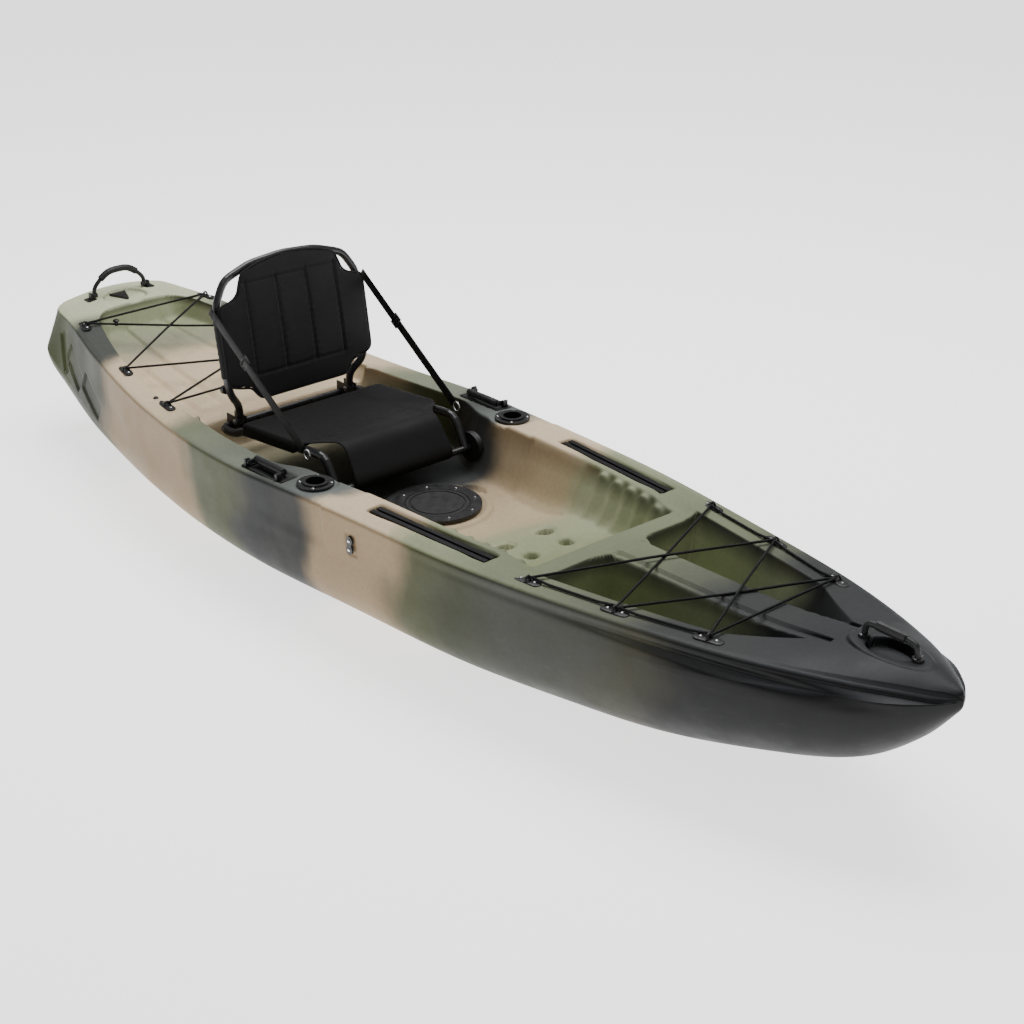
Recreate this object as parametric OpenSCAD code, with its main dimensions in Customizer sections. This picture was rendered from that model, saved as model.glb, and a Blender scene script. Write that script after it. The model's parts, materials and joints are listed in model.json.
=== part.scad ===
// Sit-on-top fishing kayak with a folding tube-frame seat.
// Frame: +X to the bow, +Y to port, +Z up, origin on the keel line under the middle of the length.

/* [Hull] */
// Length from transom to stem
hull_length = 3050; // [2700:10:3500]
// Greatest beam at the gunwale
hull_beam = 756; // [680:4:840]
// Height from keel to gunwale amidships
hull_depth = 330; // [300:2:380]
// Thickness of the moulded wall
wall = 4.5; // [4:0.5:7]
// Width of the rim beside the tankwell
tankwell_rim = 56; // [45:1:66]
// Width of the rim beside the cockpit
cockpit_rim = 100; // [92:1:110]
// Depth of the tankwell below the gunwale
tankwell_depth = 46; // [35:1:60]
// Depth of the cockpit floor below the gunwale
cockpit_depth = 128; // [110:1:150]
// Depth of the two bow pockets below the gunwale
pocket_depth = 105; // [80:1:120]
// Diameter of the scupper tubes
scupper_d = 30; // [22:1:36]

/* [Deck plate] */
// Outer diameter of the deck plate's ring
hatch_d = 216; // [190:2:240]
// Clear opening of the deck plate
hatch_bore_d = 152; // [130:2:160]
// Lift of the lid clear of its ring
lid_thick = 9; // [7:0.5:12]

/* [Deck fittings] */
// Bore of a rod holder
rod_bore_d = 46; // [42:1:50]
// Flange diameter of a rod holder
rod_flange_d = 88; // [82:1:94]
// Depth of a rod holder's tube
rod_tube_len = 190; // [150:5:200]
// Length of a gear track
track_len = 366; // [300:2:380]
// Width of a gear track
track_w = 32; // [28:1:36]
// Diameter of the lacing cord
cord_d = 5; // [4:0.5:6]
// Length of a side carry handle
side_handle_len = 150; // [130:2:170]

/* [Seat] */
// Outer diameter of the seat's tube
tube_d = 22; // [19:1:25]
// Width between the seat's side tubes, centre to centre
seat_width = 400; // [360:4:430]
// Length of the seat from its hinge to its front bend
seat_length = 392; // [360:4:420]
// Height of the backrest above its hinge
back_height = 400; // [360:4:440]
// Lean of the backrest from upright
back_lean = 9; // [4:1:14]
// Width of the side straps
strap_w = 25; // [20:1:32]

/* [Clearances] */
// Gap between a fitting and the recess it sits in
seat_gap = 0.4; // [0.3:0.1:1]
// Gap between parts that move
run_gap = 0.6; // [0.5:0.1:1.2]

/* [Hidden] */
$fn = 48;

half_l = hull_length / 2;
half_beam = hull_beam / 2;
up_clear = 60;

// Lines of the hull: share of the length from amidships in percent, then percent of the
// half beam or of the depth.
beam_line = [[-50, 42], [-49, 48.5], [-46, 54], [-38, 70], [-26, 89], [-11, 100], [3, 95.5],
             [14, 90], [26, 75], [36, 58], [44, 35], [48.5, 14], [50, 2]];
sheer_line = [[-50, 110], [-44, 108], [-38, 102], [-26, 95.5], [-18, 94], [-8, 97], [3, 100],
              [20, 101.5], [36, 105], [46, 107], [50, 105]];
chine_line = [[-50, 79], [-46, 62], [-38, 46], [-26, 48], [-13, 50], [0, 60], [14, 68],
              [26, 79], [36, 90], [44, 99], [50, 103]];
flare_line = [[-50, 12], [-46, 8], [-33, 0], [-10, -3], [20, -2], [36, 3], [46, 6], [50, 0]];
keel_line = [[-50, 55], [-47, 42], [-40, 22], [-30, 7], [-20, 0], [20, 0], [29, 4], [39, 26],
             [44, 44], [47.5, 70], [50, 98]];
crown_line = [[-50, 6], [-44, 6], [-20, 3], [8, 2.4], [20, 1.4], [35, 1.4], [41, 6], [46, 9], [50, 4]];
bilge_line = [[-50, 88], [-30, 92], [0, 92], [14, 82], [26, 50], [36, 32], [50, 20]];

function lerp(a, b, t) = a + (b - a) * t;
function knot_slope(k, i) =
    i == 0 ? (k[1][1] - k[0][1]) / (k[1][0] - k[0][0])
    : i == len(k) - 1 ? (k[i][1] - k[i - 1][1]) / (k[i][0] - k[i - 1][0])
    : (k[i + 1][1] - k[i - 1][1]) / (k[i + 1][0] - k[i - 1][0]);
function knot_before(k, s) = max([0, for (i = [1:len(k) - 2]) if (s >= k[i][0]) i]);
// Smooth curve through the knots of a line
function curve(k, s) =
    let (i = knot_before(k, s), h = k[i + 1][0] - k[i][0],
         t = min(1, max(0, (s - k[i][0]) / h)), a = knot_slope(k, i) * h, b = knot_slope(k, i + 1) * h)
    (2 * t * t * t - 3 * t * t + 1) * k[i][1] + (t * t * t - 2 * t * t + t) * a
    + (3 * t * t - 2 * t * t * t) * k[i + 1][1] + (t * t * t - t * t) * b;

function share(x) = 100 * x / hull_length;
function half_b(x) = max(3, half_beam * curve(beam_line, share(x)) / 100);
function sheer(x) = hull_depth * curve(sheer_line, share(x)) / 100;
function chine_z(x) = hull_depth * curve(chine_line, share(x)) / 100;
function keel_z(x) = max(0, hull_depth * curve(keel_line, share(x)) / 100);
function chine_b(x) = half_b(x) + half_beam * curve(flare_line, share(x)) / 100;
function crown(x) = hull_depth * curve(crown_line, share(x)) / 100;
// Height of the deck's skin at a point
function deck_z(x, y) = sheer(x) + crown(x) * (1 - pow(abs(y) / half_b(x), 2));

function bezier(a, b, c, d, t) =
    pow(1 - t, 3) * a + 3 * t * pow(1 - t, 2) * b + 3 * t * t * (1 - t) * c + t * t * t * d;

// One side of a section, from keel to deck centre, as [y, z]
bottom_steps = 5;
deck_steps = 3;
edge_r = 12;
function half_section(x) =
    let (kz = keel_z(x), cz = chine_z(x), cb = chine_b(x), gb = half_b(x), gz = sheer(x),
         full = curve(bilge_line, share(x)) / 100, r = min(edge_r, gb * 0.3))
    concat(
        [for (i = [0:bottom_steps - 1]) let (t = i / bottom_steps)
            bezier([0, kz], [cb * full * 0.85, kz], [cb * lerp(0.9, 0.99, full), lerp(kz, cz, 0.12)],
                   [cb, cz], t)],
        [[cb, cz], [gb, gz - r], [gb - r * 0.3, gz - r * 0.3], [gb - r, gz]],
        [for (i = [1:deck_steps]) let (y = (gb - r) * (1 - i / deck_steps)) [y, deck_z(x, y)]]);

// The same side drawn in by a wall thickness
function inner_half(x, w) =
    let (h = half_section(x), gb = chine_b(x) + 1, lo = keel_z(x), hi = deck_z(x, 0),
         fy = max(0.05, (gb - w * 1.15) / gb), fz = max(0.1, (hi - lo - 2 * w) / (hi - lo)))
    [for (p = h) [p[0] * fy, lo + w + (p[1] - lo) * fz]];

function ring_of(half, x) =
    concat([for (i = [0:len(half) - 1]) [x, half[i][0], half[i][1]]],
           [for (i = [len(half) - 2:-1:1]) [x, -half[i][0], half[i][1]]]);

// Closed solid through a row of rings with equal point counts, ordered along +X
module loft(rings) {
    n = len(rings[0]);
    m = len(rings);
    polyhedron(
        points = [for (r = rings) for (p = r) p],
        faces = concat(
            [[for (j = [0:n - 1]) j]],
            [[for (j = [n - 1:-1:0]) (m - 1) * n + j]],
            [for (i = [0:m - 2]) for (j = [0:n - 1]) for (h = [0:1])
                let (a = i * n + j, b = i * n + (j + 1) % n)
                h == 0 ? [a, a + n, b] : [b, a + n, b + n]]));
}

// Stations stand closer together towards both ends
station_count = 26;
function station(i, lo, hi) =
    let (t = i / station_count, e = (1 - cos(180 * t)) / 2) lerp(lo, hi, lerp(t, e, 0.7));

module outer_skin() {
    loft([for (i = [0:station_count]) let (x = station(i, -half_l, half_l)) ring_of(half_section(x), x)]);
}

inner_stem = half_l - 60;
module inner_skin() {
    loft([for (i = [0:2:station_count]) let (x = station(i, -half_l + wall, inner_stem))
        ring_of(inner_half(x, wall), x)]);
}

// Tankwell, cockpit and pockets ------------------------------------------------------------

tankwell_aft = -half_l * 0.9;
seat_well_aft = -half_l * 0.445;
tankwell_fore = seat_well_aft + 60;
bulkhead_x = half_l * 0.375;
rod_x = -half_l * 0.06;
track_aft = half_l * 0.08;

function tankwell_top(x) = half_b(x) - tankwell_rim - lerp(18, 0, min(1, (x - tankwell_aft) / 300))
    - lerp(0, 20, min(1, max(0, (x - seat_well_aft + 120) / 120)));
// The rim is narrow beside the seat and wide from the rod holders on
function cockpit_top(x) =
    let (t = min(1, max(0, (x - rod_x + 190) / 120)), e = t * t * (3 - 2 * t))
    half_b(x) - lerp(cockpit_rim - 20, cockpit_rim + 8, e);
function cockpit_foot(x) =
    let (t = min(1, max(0, (x - rod_x + 70) / 150))) cockpit_top(x) - lerp(32, 78, t);
function cockpit_floor(x) = hull_depth - cockpit_depth + lerp(-10, 34, min(1, max(0, (x + 200) / 620)));
function tankwell_floor(x) = sheer(x) - tankwell_depth + lerp(0, 8, min(1, (x - tankwell_aft) / 800));

function well_ring(x, top, foot, floor_z, depth_share, grow) =
    let (rim = sheer(x), f = lerp(rim + 1, floor_z, depth_share) - grow, d = rim - f)
    ring_of([[0, f], [(foot + grow) * 0.55, f + 0.015 * d], [foot + grow, f + 0.1 * d],
             [lerp(foot, top, 0.3) + grow, f + 0.32 * d], [lerp(foot, top, 0.72) + grow, f + 0.7 * d],
             [top + grow, rim], [top + grow + 2, rim + up_clear], [0, rim + up_clear]], x);

// Easing of a well's two ends: a quarter round in plan and a steep drafted wall
end_angles = [0, 30, 60, 90];
function well_stations(x0, x1, r0, r1, steps) = concat(
    [for (a = end_angles) [x0 + r0 * (1 - cos(a)), r0 * (1 - sin(a)), min(1, 1.25 * sin(a))]],
    [for (i = [1:steps - 1]) [lerp(x0 + r0, x1 - r1, i / steps), 0, 1]],
    [for (i = [len(end_angles) - 1:-1:0]) let (a = end_angles[i])
        [x1 - r1 * (1 - cos(a)), r1 * (1 - sin(a)), min(1, 1.25 * sin(a))]]);

module tankwell(grow) {
    loft([for (s = well_stations(tankwell_aft - grow, tankwell_fore, 45, 2, 6))
        well_ring(s[0], tankwell_top(s[0]) - s[1], tankwell_top(s[0]) - 24 - s[1],
                  tankwell_floor(s[0]), s[2], grow)]);
}

module cockpit(grow) {
    loft([for (s = well_stations(seat_well_aft - grow, bulkhead_x + grow, 24, 34, 9))
        well_ring(s[0], cockpit_top(s[0]) - s[1], cockpit_foot(s[0]) - s[1],
                  cockpit_floor(s[0]), s[2], grow)]);
}

// A bow pocket is a drafted triangle with a round aft end beside the centre spine
spine_half = 34;
pocket_aft = bulkhead_x + 38;
pocket_fore = half_l * 0.74;
pocket_r = 62;
module pocket_corner(x, y, r, z, grow) {
    translate([x, y, z]) cylinder(r = r + grow, h = 1, $fn = 20);
}
module pocket(side, grow) {
    floor_z = hull_depth - pocket_depth - grow;
    top_z = sheer(pocket_aft) + up_clear;
    aft_y = side * (spine_half + pocket_r);
    out_y = side * (half_b(pocket_aft + 60) - cockpit_rim + 10 - 40);
    fore_y = side * (spine_half + 14);
    hull() {
        pocket_corner(pocket_aft + pocket_r, aft_y, pocket_r, top_z, grow);
        pocket_corner(pocket_aft + pocket_r, aft_y, pocket_r - 4, floor_z, grow);
        pocket_corner(pocket_aft + 60, out_y, 40, top_z, grow);
        pocket_corner(pocket_aft + 70, aft_y + side * 14, 34, floor_z, grow);
        pocket_corner(pocket_fore, fore_y, 14, top_z, grow);
        pocket_corner(pocket_fore - 150, fore_y + side * 6, 14, floor_z + 6, grow);
    }
}

module wells(grow) {
    tankwell(grow);
    cockpit(grow);
    pocket(1, grow);
    pocket(-1, grow);
}

// Places of the fittings -------------------------------------------------------------------

hatch_x = -half_l * 0.012;
hatch_z = cockpit_floor(hatch_x) + 4;
hatch_t = 5;
rod_y = half_b(rod_x) - 68;
rod_z = deck_z(rod_x, rod_y);
track_fore = track_aft + track_len;
function track_y(x) = half_b(x) - 66;
track_angle = atan2(track_y(track_fore) - track_y(track_aft), track_len);
track_z = min(deck_z(track_aft, track_y(track_aft)), deck_z(track_fore, track_y(track_fore))) - 3;
track_h = 11;
side_handle_x = rod_x - 145;
side_handle_y = half_b(side_handle_x) - 40;
side_handle_z = deck_z(side_handle_x, side_handle_y) - 9;
handle_angle = atan2(half_b(side_handle_x + 60) - half_b(side_handle_x - 60), 120);

eye_front_x = [half_l * 0.407, half_l * 0.553, half_l * 0.693];
eye_rear_x = [-half_l * 0.862, -half_l * 0.66, -half_l * 0.492];
eye_front_in = [36, 34, 38];
eye_rear_in = [30, 42, 52];
function eye_front(i, side) = let (x = eye_front_x[i], y = half_b(x) - eye_front_in[i])
    [x, side * y, deck_z(x, y) - 1];
function eye_rear(i, side) = let (x = eye_rear_x[i], y = half_b(x) - eye_rear_in[i])
    [x, side * y, deck_z(x, y) - 1];
function edge_angle(x, side) = side * atan2(half_b(x + 30) - half_b(x - 30), 60);

scupper_x = [half_l * 0.195, half_l * 0.25];
scupper_y = [62, 54];
scupper_r = [scupper_d / 2, scupper_d / 3];

bow_handle_x = half_l * 0.885;
bow_handle_len = 130;
bow_z = deck_z(bow_handle_x, 0) - 1;
finger_len = 84;
finger_depth = 20;
stern_handle_x = -half_l * 0.955;
stern_handle_half = 95;
stern_z = deck_z(stern_handle_x, stern_handle_half) - 1;
insert_x = stern_handle_x + 31;
insert_t = 9;
module insert_outline() {
    polygon([[-46, -26], [-46, 26], [14, 3], [14, -3]]);
}

keeper_x = half_l * 0.07;
keeper_z = hull_depth * 0.78;
keeper_y = half_b(keeper_x) - 6;

module both_sides() {
    for (side = [-1, 1]) mirror([0, side > 0 ? 0 : 1, 0]) children();
}

// Seats cut into the deck for the fittings; grow thickens the skin under them
module recesses(grow) {
    both_sides() {
        translate([rod_x, rod_y, rod_z - 3 - grow])
            cylinder(d = rod_flange_d + 2 * seat_gap + 2 * grow, h = 40, $fn = 32);
        translate([track_aft, track_y(track_aft), track_z - track_h - grow]) rotate([0, 0, track_angle])
            translate([-seat_gap - grow, -track_w / 2 - seat_gap - grow, 0])
                cube([track_len + 2 * seat_gap + 2 * grow, track_w + 2 * seat_gap + 2 * grow, 60]);
        translate([side_handle_x, side_handle_y, side_handle_z - grow]) rotate([0, 0, handle_angle])
            translate([-side_handle_len / 2 - seat_gap - grow, -22 - seat_gap - grow, 0])
                cube([side_handle_len + 2 * seat_gap + 2 * grow, 44 + 2 * seat_gap + 2 * grow, 60]);
        translate([keeper_x, keeper_y, keeper_z]) rotate([-90, 0, 0])
            translate([0, 0, -grow]) cylinder(d = 70 + 2 * grow, h = 40, $fn = 24);
    }
    for (i = [0:2]) for (side = [-1, 1]) {
        translate(eye_front(i, side)) rotate([0, 0, edge_angle(eye_front_x[i], side)])
            translate([-27 - grow, -12 - grow, -grow]) cube([54 + 2 * grow, 24 + 2 * grow, 40]);
        translate(eye_rear(i, side)) rotate([0, 0, edge_angle(eye_rear_x[i], side)])
            translate([-27 - grow, -12 - grow, -grow]) cube([54 + 2 * grow, 24 + 2 * grow, 40]);
    }
    translate([bow_handle_x - bow_handle_len / 2 - 17 - grow, -18 - grow, bow_z - grow])
        cube([bow_handle_len + 34 + 2 * grow, 36 + 2 * grow, 60]);
    translate([bow_handle_x - finger_len / 2 - grow, -15 - grow, bow_z - finger_depth - grow])
        cube([finger_len + 2 * grow, 30 + 2 * grow, 60]);
    translate([insert_x, 0, stern_z - insert_t - grow]) linear_extrude(60)
        offset(delta = seat_gap + grow) insert_outline();
    translate([stern_handle_x, 0, stern_z + 30 - grow / 2])
        cube([26 + 2 * grow, 2 * stern_handle_half + 30 + 2 * grow, 60 + grow], center = true);
}

module scupper_tubes(grow) {
    for (i = [0:1]) for (side = [-1, 1])
        translate([scupper_x[i], side * scupper_y[i], -10]) cylinder(r = scupper_r[i] + grow, h = hull_depth, $fn = 24);
}

rib_count = 4;
rib_pitch = 52;
module foot_ribs() {
    for (side = [-1, 1]) for (i = [0:rib_count - 1]) {
        x = bulkhead_x - 50 - i * rib_pitch;
        top = cockpit_top(x);
        foot = cockpit_foot(x);
        floor_z = cockpit_floor(x);
        hull() {
            translate([x, side * (top + 3), sheer(x) - 14]) sphere(r = 9, $fn = 8);
            translate([x, side * (top - 8), sheer(x) - 34]) sphere(r = 9, $fn = 8);
            translate([x - 8, side * (foot + 2), floor_z + 16]) sphere(r = 9, $fn = 8);
        }
    }
}

module floor_ribs() {
    for (side = [-1, 1]) for (y = [70, 150]) hull() {
        translate([seat_well_aft - 70, side * y, tankwell_floor(seat_well_aft - 70) - 1]) cylinder(r = 7, h = 5, $fn = 16);
        translate([tankwell_aft + 160 + y, side * y * 0.75, tankwell_floor(tankwell_aft + 160 + y) - 1])
            cylinder(r = 7, h = 5, $fn = 16);
    }
}

module hull_void() {
    difference() {
        inner_skin();
        wells(wall);
        recesses(wall);
        scupper_tubes(wall);
        translate([hatch_x, 0, hatch_z - hatch_t - 9]) cylinder(d = hatch_d + 14, h = 60);
    }
}

module hull_shell() {
    color([0.42, 0.44, 0.30]) difference() {
        union() {
            difference() {
                outer_skin();
                wells(0);
            }
            foot_ribs();
            floor_ribs();
            translate([hatch_x, 0, hatch_z - hatch_t - 8]) cylinder(d = hatch_d + 12, h = hatch_t + 6);
        }
        hull_void();
        recesses(0);
        scupper_tubes(0);
        both_sides() translate([rod_x, rod_y, rod_z - 60]) cylinder(d = rod_bore_d + 10, h = 80);
        translate([hatch_x, 0, hatch_z - hatch_t]) cylinder(d = hatch_d + 2 * seat_gap, h = 60);
        translate([hatch_x, 0, hatch_z - 40]) cylinder(d = hatch_bore_d + 14, h = 60);
    }
}

// Deck plate -------------------------------------------------------------------------------

module bar(a, b, r) {
    v = b - a;
    translate(a) rotate([0, atan2(norm([v[0], v[1]]), v[2]), atan2(v[1], v[0])]) cylinder(r = r, h = norm(v));
}
function unit(v) = v / norm(v);
function tangent(k, i) =
    unit(unit(k[min(i + 1, len(k) - 1)] - k[i] + (i == len(k) - 1 ? k[i] - k[i - 1] : [0, 0, 0]))
         + unit(k[i] - k[max(i - 1, 0)] + (i == 0 ? k[1] - k[0] : [0, 0, 0])));
function square_to(t) = unit(cross(t, abs(t[2]) < 0.9 ? [0, 0, 1] : [1, 0, 0]));
// Rounds the corners of a path with short curves that start a distance d before each corner
function rounded(k, d, steps = 3) = concat([k[0]],
    [for (i = [1:len(k) - 2])
        let (a = k[i] + unit(k[i - 1] - k[i]) * min(d, norm(k[i - 1] - k[i]) * 0.45),
             b = k[i] + unit(k[i + 1] - k[i]) * min(d, norm(k[i + 1] - k[i]) * 0.45))
        for (j = [0:steps]) let (t = j / steps) (1 - t) * (1 - t) * a + 2 * t * (1 - t) * k[i] + t * t * b],
    [k[len(k) - 1]]);
// Round bar swept along a path
module tube(k, r, sides = 12) {
    t = [for (i = [0:len(k) - 1]) tangent(k, i)];
    n = [for (i = 0, v = square_to(t[0]); i < len(k);
              i = i + 1, v = i < len(k) ? unit(v - (v * t[i]) * t[i]) : v) v];
    loft([for (i = [0:len(k) - 1]) [for (j = [0:sides - 1])
        k[i] + r * (cos(360 * j / sides) * n[i] + sin(360 * j / sides) * cross(t[i], n[i]))]]);
}
// Domed screw head with its shank below, standing on z = 0
module screw(head_r, shank_r, shank_len) {
    rotate_extrude() polygon([[0, -shank_len], [shank_r, -shank_len], [shank_r, 0], [head_r, 0],
                              [head_r, head_r * 0.25], [head_r * 0.6, head_r * 0.6], [0, head_r * 0.7]]);
}

hatch_screw_count = 8;
hatch_screw_r = (hatch_d + hatch_bore_d) / 4 + 2;
lid_d = hatch_bore_d + 6;
lid_seat = 3;
module at_hatch_screws() {
    for (i = [0:hatch_screw_count - 1]) rotate([0, 0, 360 * (i + 0.5) / hatch_screw_count])
        translate([hatch_screw_r, 0, 0]) children();
}
module hatch_ring() {
    color([0.06, 0.06, 0.07]) translate([hatch_x, 0, hatch_z]) difference() {
        union() {
            translate([0, 0, -hatch_t]) cylinder(d = hatch_d, h = hatch_t + 3);
            translate([0, 0, -26]) cylinder(d = hatch_bore_d + 10, h = 27);
        }
        translate([0, 0, -30]) cylinder(d = hatch_bore_d, h = 60);
        translate([0, 0, 3 - lid_thick + lid_seat - 3]) cylinder(d = lid_d + 2 * run_gap, h = 20);
        at_hatch_screws() translate([0, 0, -hatch_t - 1]) cylinder(r = 2.2, h = 20);
    }
}
module hatch_ring_screws() {
    color("silver") translate([hatch_x, 0, hatch_z + 3]) at_hatch_screws() screw(4, 2.1, hatch_t + 3 + 6);
}
lid_base = hatch_z + 3 - lid_thick + lid_seat - 3;
module hatch_seal() {
    color([0.12, 0.12, 0.12]) translate([hatch_x, 0, lid_base]) rotate_extrude()
        translate([hatch_bore_d / 2 - 6, -3]) circle(r = 2.4, $fn = 24);
}
module hatch_lid() {
    color([0.09, 0.09, 0.1]) translate([hatch_x, 0, lid_base]) rotate_extrude()
        polygon([[0, 0], [0, -4], [hatch_bore_d / 2 - 9.2, -4], [hatch_bore_d / 2 - 9.2, run_gap],
                 [lid_d / 2, run_gap], [lid_d / 2, lid_thick - 1.5], [lid_d / 2 - 1.5, lid_thick],
                 [lid_d / 2 - 10, lid_thick], [lid_d / 2 - 11, lid_thick - 2], [lid_d / 2 - 14, lid_thick - 2],
                 [lid_d / 2 - 15, lid_thick], [0, lid_thick]]);
}

// Rod holders ------------------------------------------------------------------------------

rod_screw_count = 4;
flange_t = 6;
module at_rod_screws() {
    for (i = [0:rod_screw_count - 1]) rotate([0, 0, 45 + 360 * i / rod_screw_count])
        translate([(rod_flange_d + rod_bore_d + 16) / 4, 0, 0]) children();
}
module rod_holder(side) {
    color([0.05, 0.05, 0.06]) translate([rod_x, side * rod_y, rod_z - 3]) difference() {
        union() {
            cylinder(d = rod_flange_d, h = flange_t);
            cylinder(d = rod_bore_d + 16, h = flange_t + 4);
            translate([0, 0, -rod_tube_len]) cylinder(d = rod_bore_d + 8, h = rod_tube_len + 1);
        }
        translate([0, 0, 4 - rod_tube_len]) cylinder(d = rod_bore_d, h = rod_tube_len + 40);
        at_rod_screws() translate([0, 0, -10]) cylinder(r = 2.2, h = 40);
    }
}
module rod_holder_starboard() { rod_holder(-1); }
module rod_holder_port() { rod_holder(1); }
module rod_holder_screws() {
    color("silver") for (side = [-1, 1]) translate([rod_x, side * rod_y, rod_z - 3 + flange_t])
        at_rod_screws() screw(3.8, 2.1, flange_t + 6);
}

// Gear tracks ------------------------------------------------------------------------------

track_slot = 7;
track_channel = 18;
track_screw_count = 5;
module at_track(side) {
    mirror([0, side > 0 ? 0 : 1, 0]) translate([track_aft, track_y(track_aft), track_z])
        rotate([0, 0, track_angle]) children();
}
module gear_track(side) {
    color([0.05, 0.05, 0.06]) at_track(side) difference() {
        translate([0, -track_w / 2, -track_h]) cube([track_len, track_w, track_h + 4]);
        translate([-1, -track_channel / 2, -track_h + 3]) cube([track_len + 2, track_channel, 8]);
        translate([-1, -track_slot / 2, -track_h + 4]) cube([track_len + 2, track_slot, 30]);
        for (i = [0:track_screw_count - 1])
            translate([track_len * (i + 0.5) / track_screw_count, 0, -track_h - 1]) cylinder(r = 2.3, h = 6);
    }
}
module gear_track_starboard() { gear_track(-1); }
module gear_track_port() { gear_track(1); }
module gear_track_screws() {
    color("silver") for (side = [-1, 1]) at_track(side) for (i = [0:track_screw_count - 1])
        translate([track_len * (i + 0.5) / track_screw_count, 0, -track_h + 3]) screw(3.2, 2.1, 10);
}

// Side carry handles -----------------------------------------------------------------------

grip_r = 9;
bail_half = side_handle_len / 2 - 20;
bail_y = 14;
bail_z = 17;
grip_y = -8;
grip_z = 19;
pin_r = 3;
pin_gap = 0.05;
lug_t = 7;
module at_side_handle(side) {
    mirror([0, side > 0 ? 0 : 1, 0]) translate([side_handle_x, side_handle_y, side_handle_z])
        rotate([0, 0, handle_angle]) children();
}
module side_handle_base(side) {
    color([0.06, 0.06, 0.07]) at_side_handle(side) difference() {
        union() {
            translate([-side_handle_len / 2, -22, 0]) cube([side_handle_len, 44, 7]);
            for (end = [-1, 1]) translate([end * (bail_half + 3 + run_gap + lug_t / 2) - lug_t / 2, bail_y - 7, 6])
                cube([lug_t, 14, 18]);
        }
        translate([-bail_half - 4, -14, 3]) cube([2 * bail_half + 8, 30, 20]);
        translate([-side_handle_len, bail_y, bail_z]) rotate([0, 90, 0])
            cylinder(r = pin_r + pin_gap, h = 2 * side_handle_len);
    }
}
module side_handle_base_starboard() { side_handle_base(-1); }
module side_handle_base_port() { side_handle_base(1); }
module side_handle_grip(side) {
    pin_end = bail_half + 3 + run_gap + lug_t - 1;
    color([0.05, 0.05, 0.05]) at_side_handle(side) {
        translate([-bail_half, grip_y, grip_z]) rotate([0, 90, 0]) cylinder(r = grip_r, h = 2 * bail_half);
        for (end = [-1, 1]) {
            translate([end * bail_half - 3, grip_y, bail_z - 5]) cube([6, bail_y - grip_y, 10]);
            translate([end * bail_half - 3, bail_y, bail_z]) rotate([0, 90, 0]) cylinder(r = 5, h = 6);
            translate([end > 0 ? bail_half : -pin_end, bail_y, bail_z]) rotate([0, 90, 0])
                cylinder(r = pin_r, h = pin_end - bail_half);
        }
    }
}
module side_handle_grip_starboard() { side_handle_grip(-1); }
module side_handle_grip_port() { side_handle_grip(1); }

// Bow and stern handles --------------------------------------------------------------------

bow_pad_len = 26;
bow_grip_z = bow_z + 34;
module bow_handle() {
    a = bow_handle_len / 2;
    color([0.05, 0.05, 0.05]) translate([bow_handle_x, 0, 0]) difference() {
        union() {
            for (end = [-1, 1]) translate([end * a, 0, bow_z]) cylinder(r = 12, h = 6);
            tube(rounded([[-a, 0, bow_z + 3], [-a + 4, 0, bow_grip_z - 4], [-a + 36, 0, bow_grip_z + 1],
                          [a - 36, 0, bow_grip_z + 1], [a - 4, 0, bow_grip_z - 4], [a, 0, bow_z + 3]], 10), 6.5);
            tube([[-a + 30, 0, bow_grip_z + 1], [a - 30, 0, bow_grip_z + 1]], 10);
        }
        translate([0, 0, bow_z - 20]) cube([2 * a + 60, 60, 40], center = true);
    }
}
module bow_handle_screws() {
    color("silver") for (end = [-1, 1]) for (side = [-1, 1])
        translate([bow_handle_x + end * (bow_handle_len / 2 + 0), side * 8.4, bow_z + 6]) screw(3, 1.8, 12);
}
stern_post_r = 7;
stern_pivot_z = stern_z + 12;
module stern_handle_bow() {
    h = stern_handle_half;
    z = stern_pivot_z;
    union() {
        tube(rounded([[0, -h + 14, z], [0, -h + 14, z + 20], [0, -62, z + 40], [0, -30, z + 62],
                      [0, 30, z + 62], [0, 62, z + 40], [0, h - 14, z + 20], [0, h - 14, z]], 14), 6);
        tube(rounded([[0, -58, z + 43], [0, -30, z + 62], [0, 30, z + 62], [0, 58, z + 43]], 22), 9.5);
    }
}
module stern_handle() {
    h = stern_handle_half;
    color([0.05, 0.05, 0.05]) translate([stern_handle_x, 0, 0]) difference() {
        union() {
            stern_handle_bow();
            for (side = [-1, 1]) bar([0, side * (h - 7), stern_pivot_z], [0, side * (h - 21), stern_pivot_z], 7);
        }
        for (side = [-1, 1]) bar([0, side * h, stern_pivot_z], [0, side * (h - 30), stern_pivot_z], pin_r + pin_gap);
    }
}
module stern_handle_anchors() {
    color([0.07, 0.07, 0.07]) for (side = [-1, 1]) translate([stern_handle_x, side * stern_handle_half, stern_z]) {
        translate([-13, -13, 0]) cube([26, 26, 4]);
        translate([-7, side > 0 ? -5.5 : -1.5, 3]) cube([14, 7, 17]);
        bar([0, 0, stern_pivot_z - stern_z], [0, -side * 20, stern_pivot_z - stern_z], pin_r);
    }
}
module stern_pocket_insert() {
    color([0.05, 0.05, 0.05]) translate([insert_x, 0, stern_z - insert_t]) linear_extrude(insert_t) insert_outline();
}

// Pad eyes and lacing ----------------------------------------------------------------------

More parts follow.
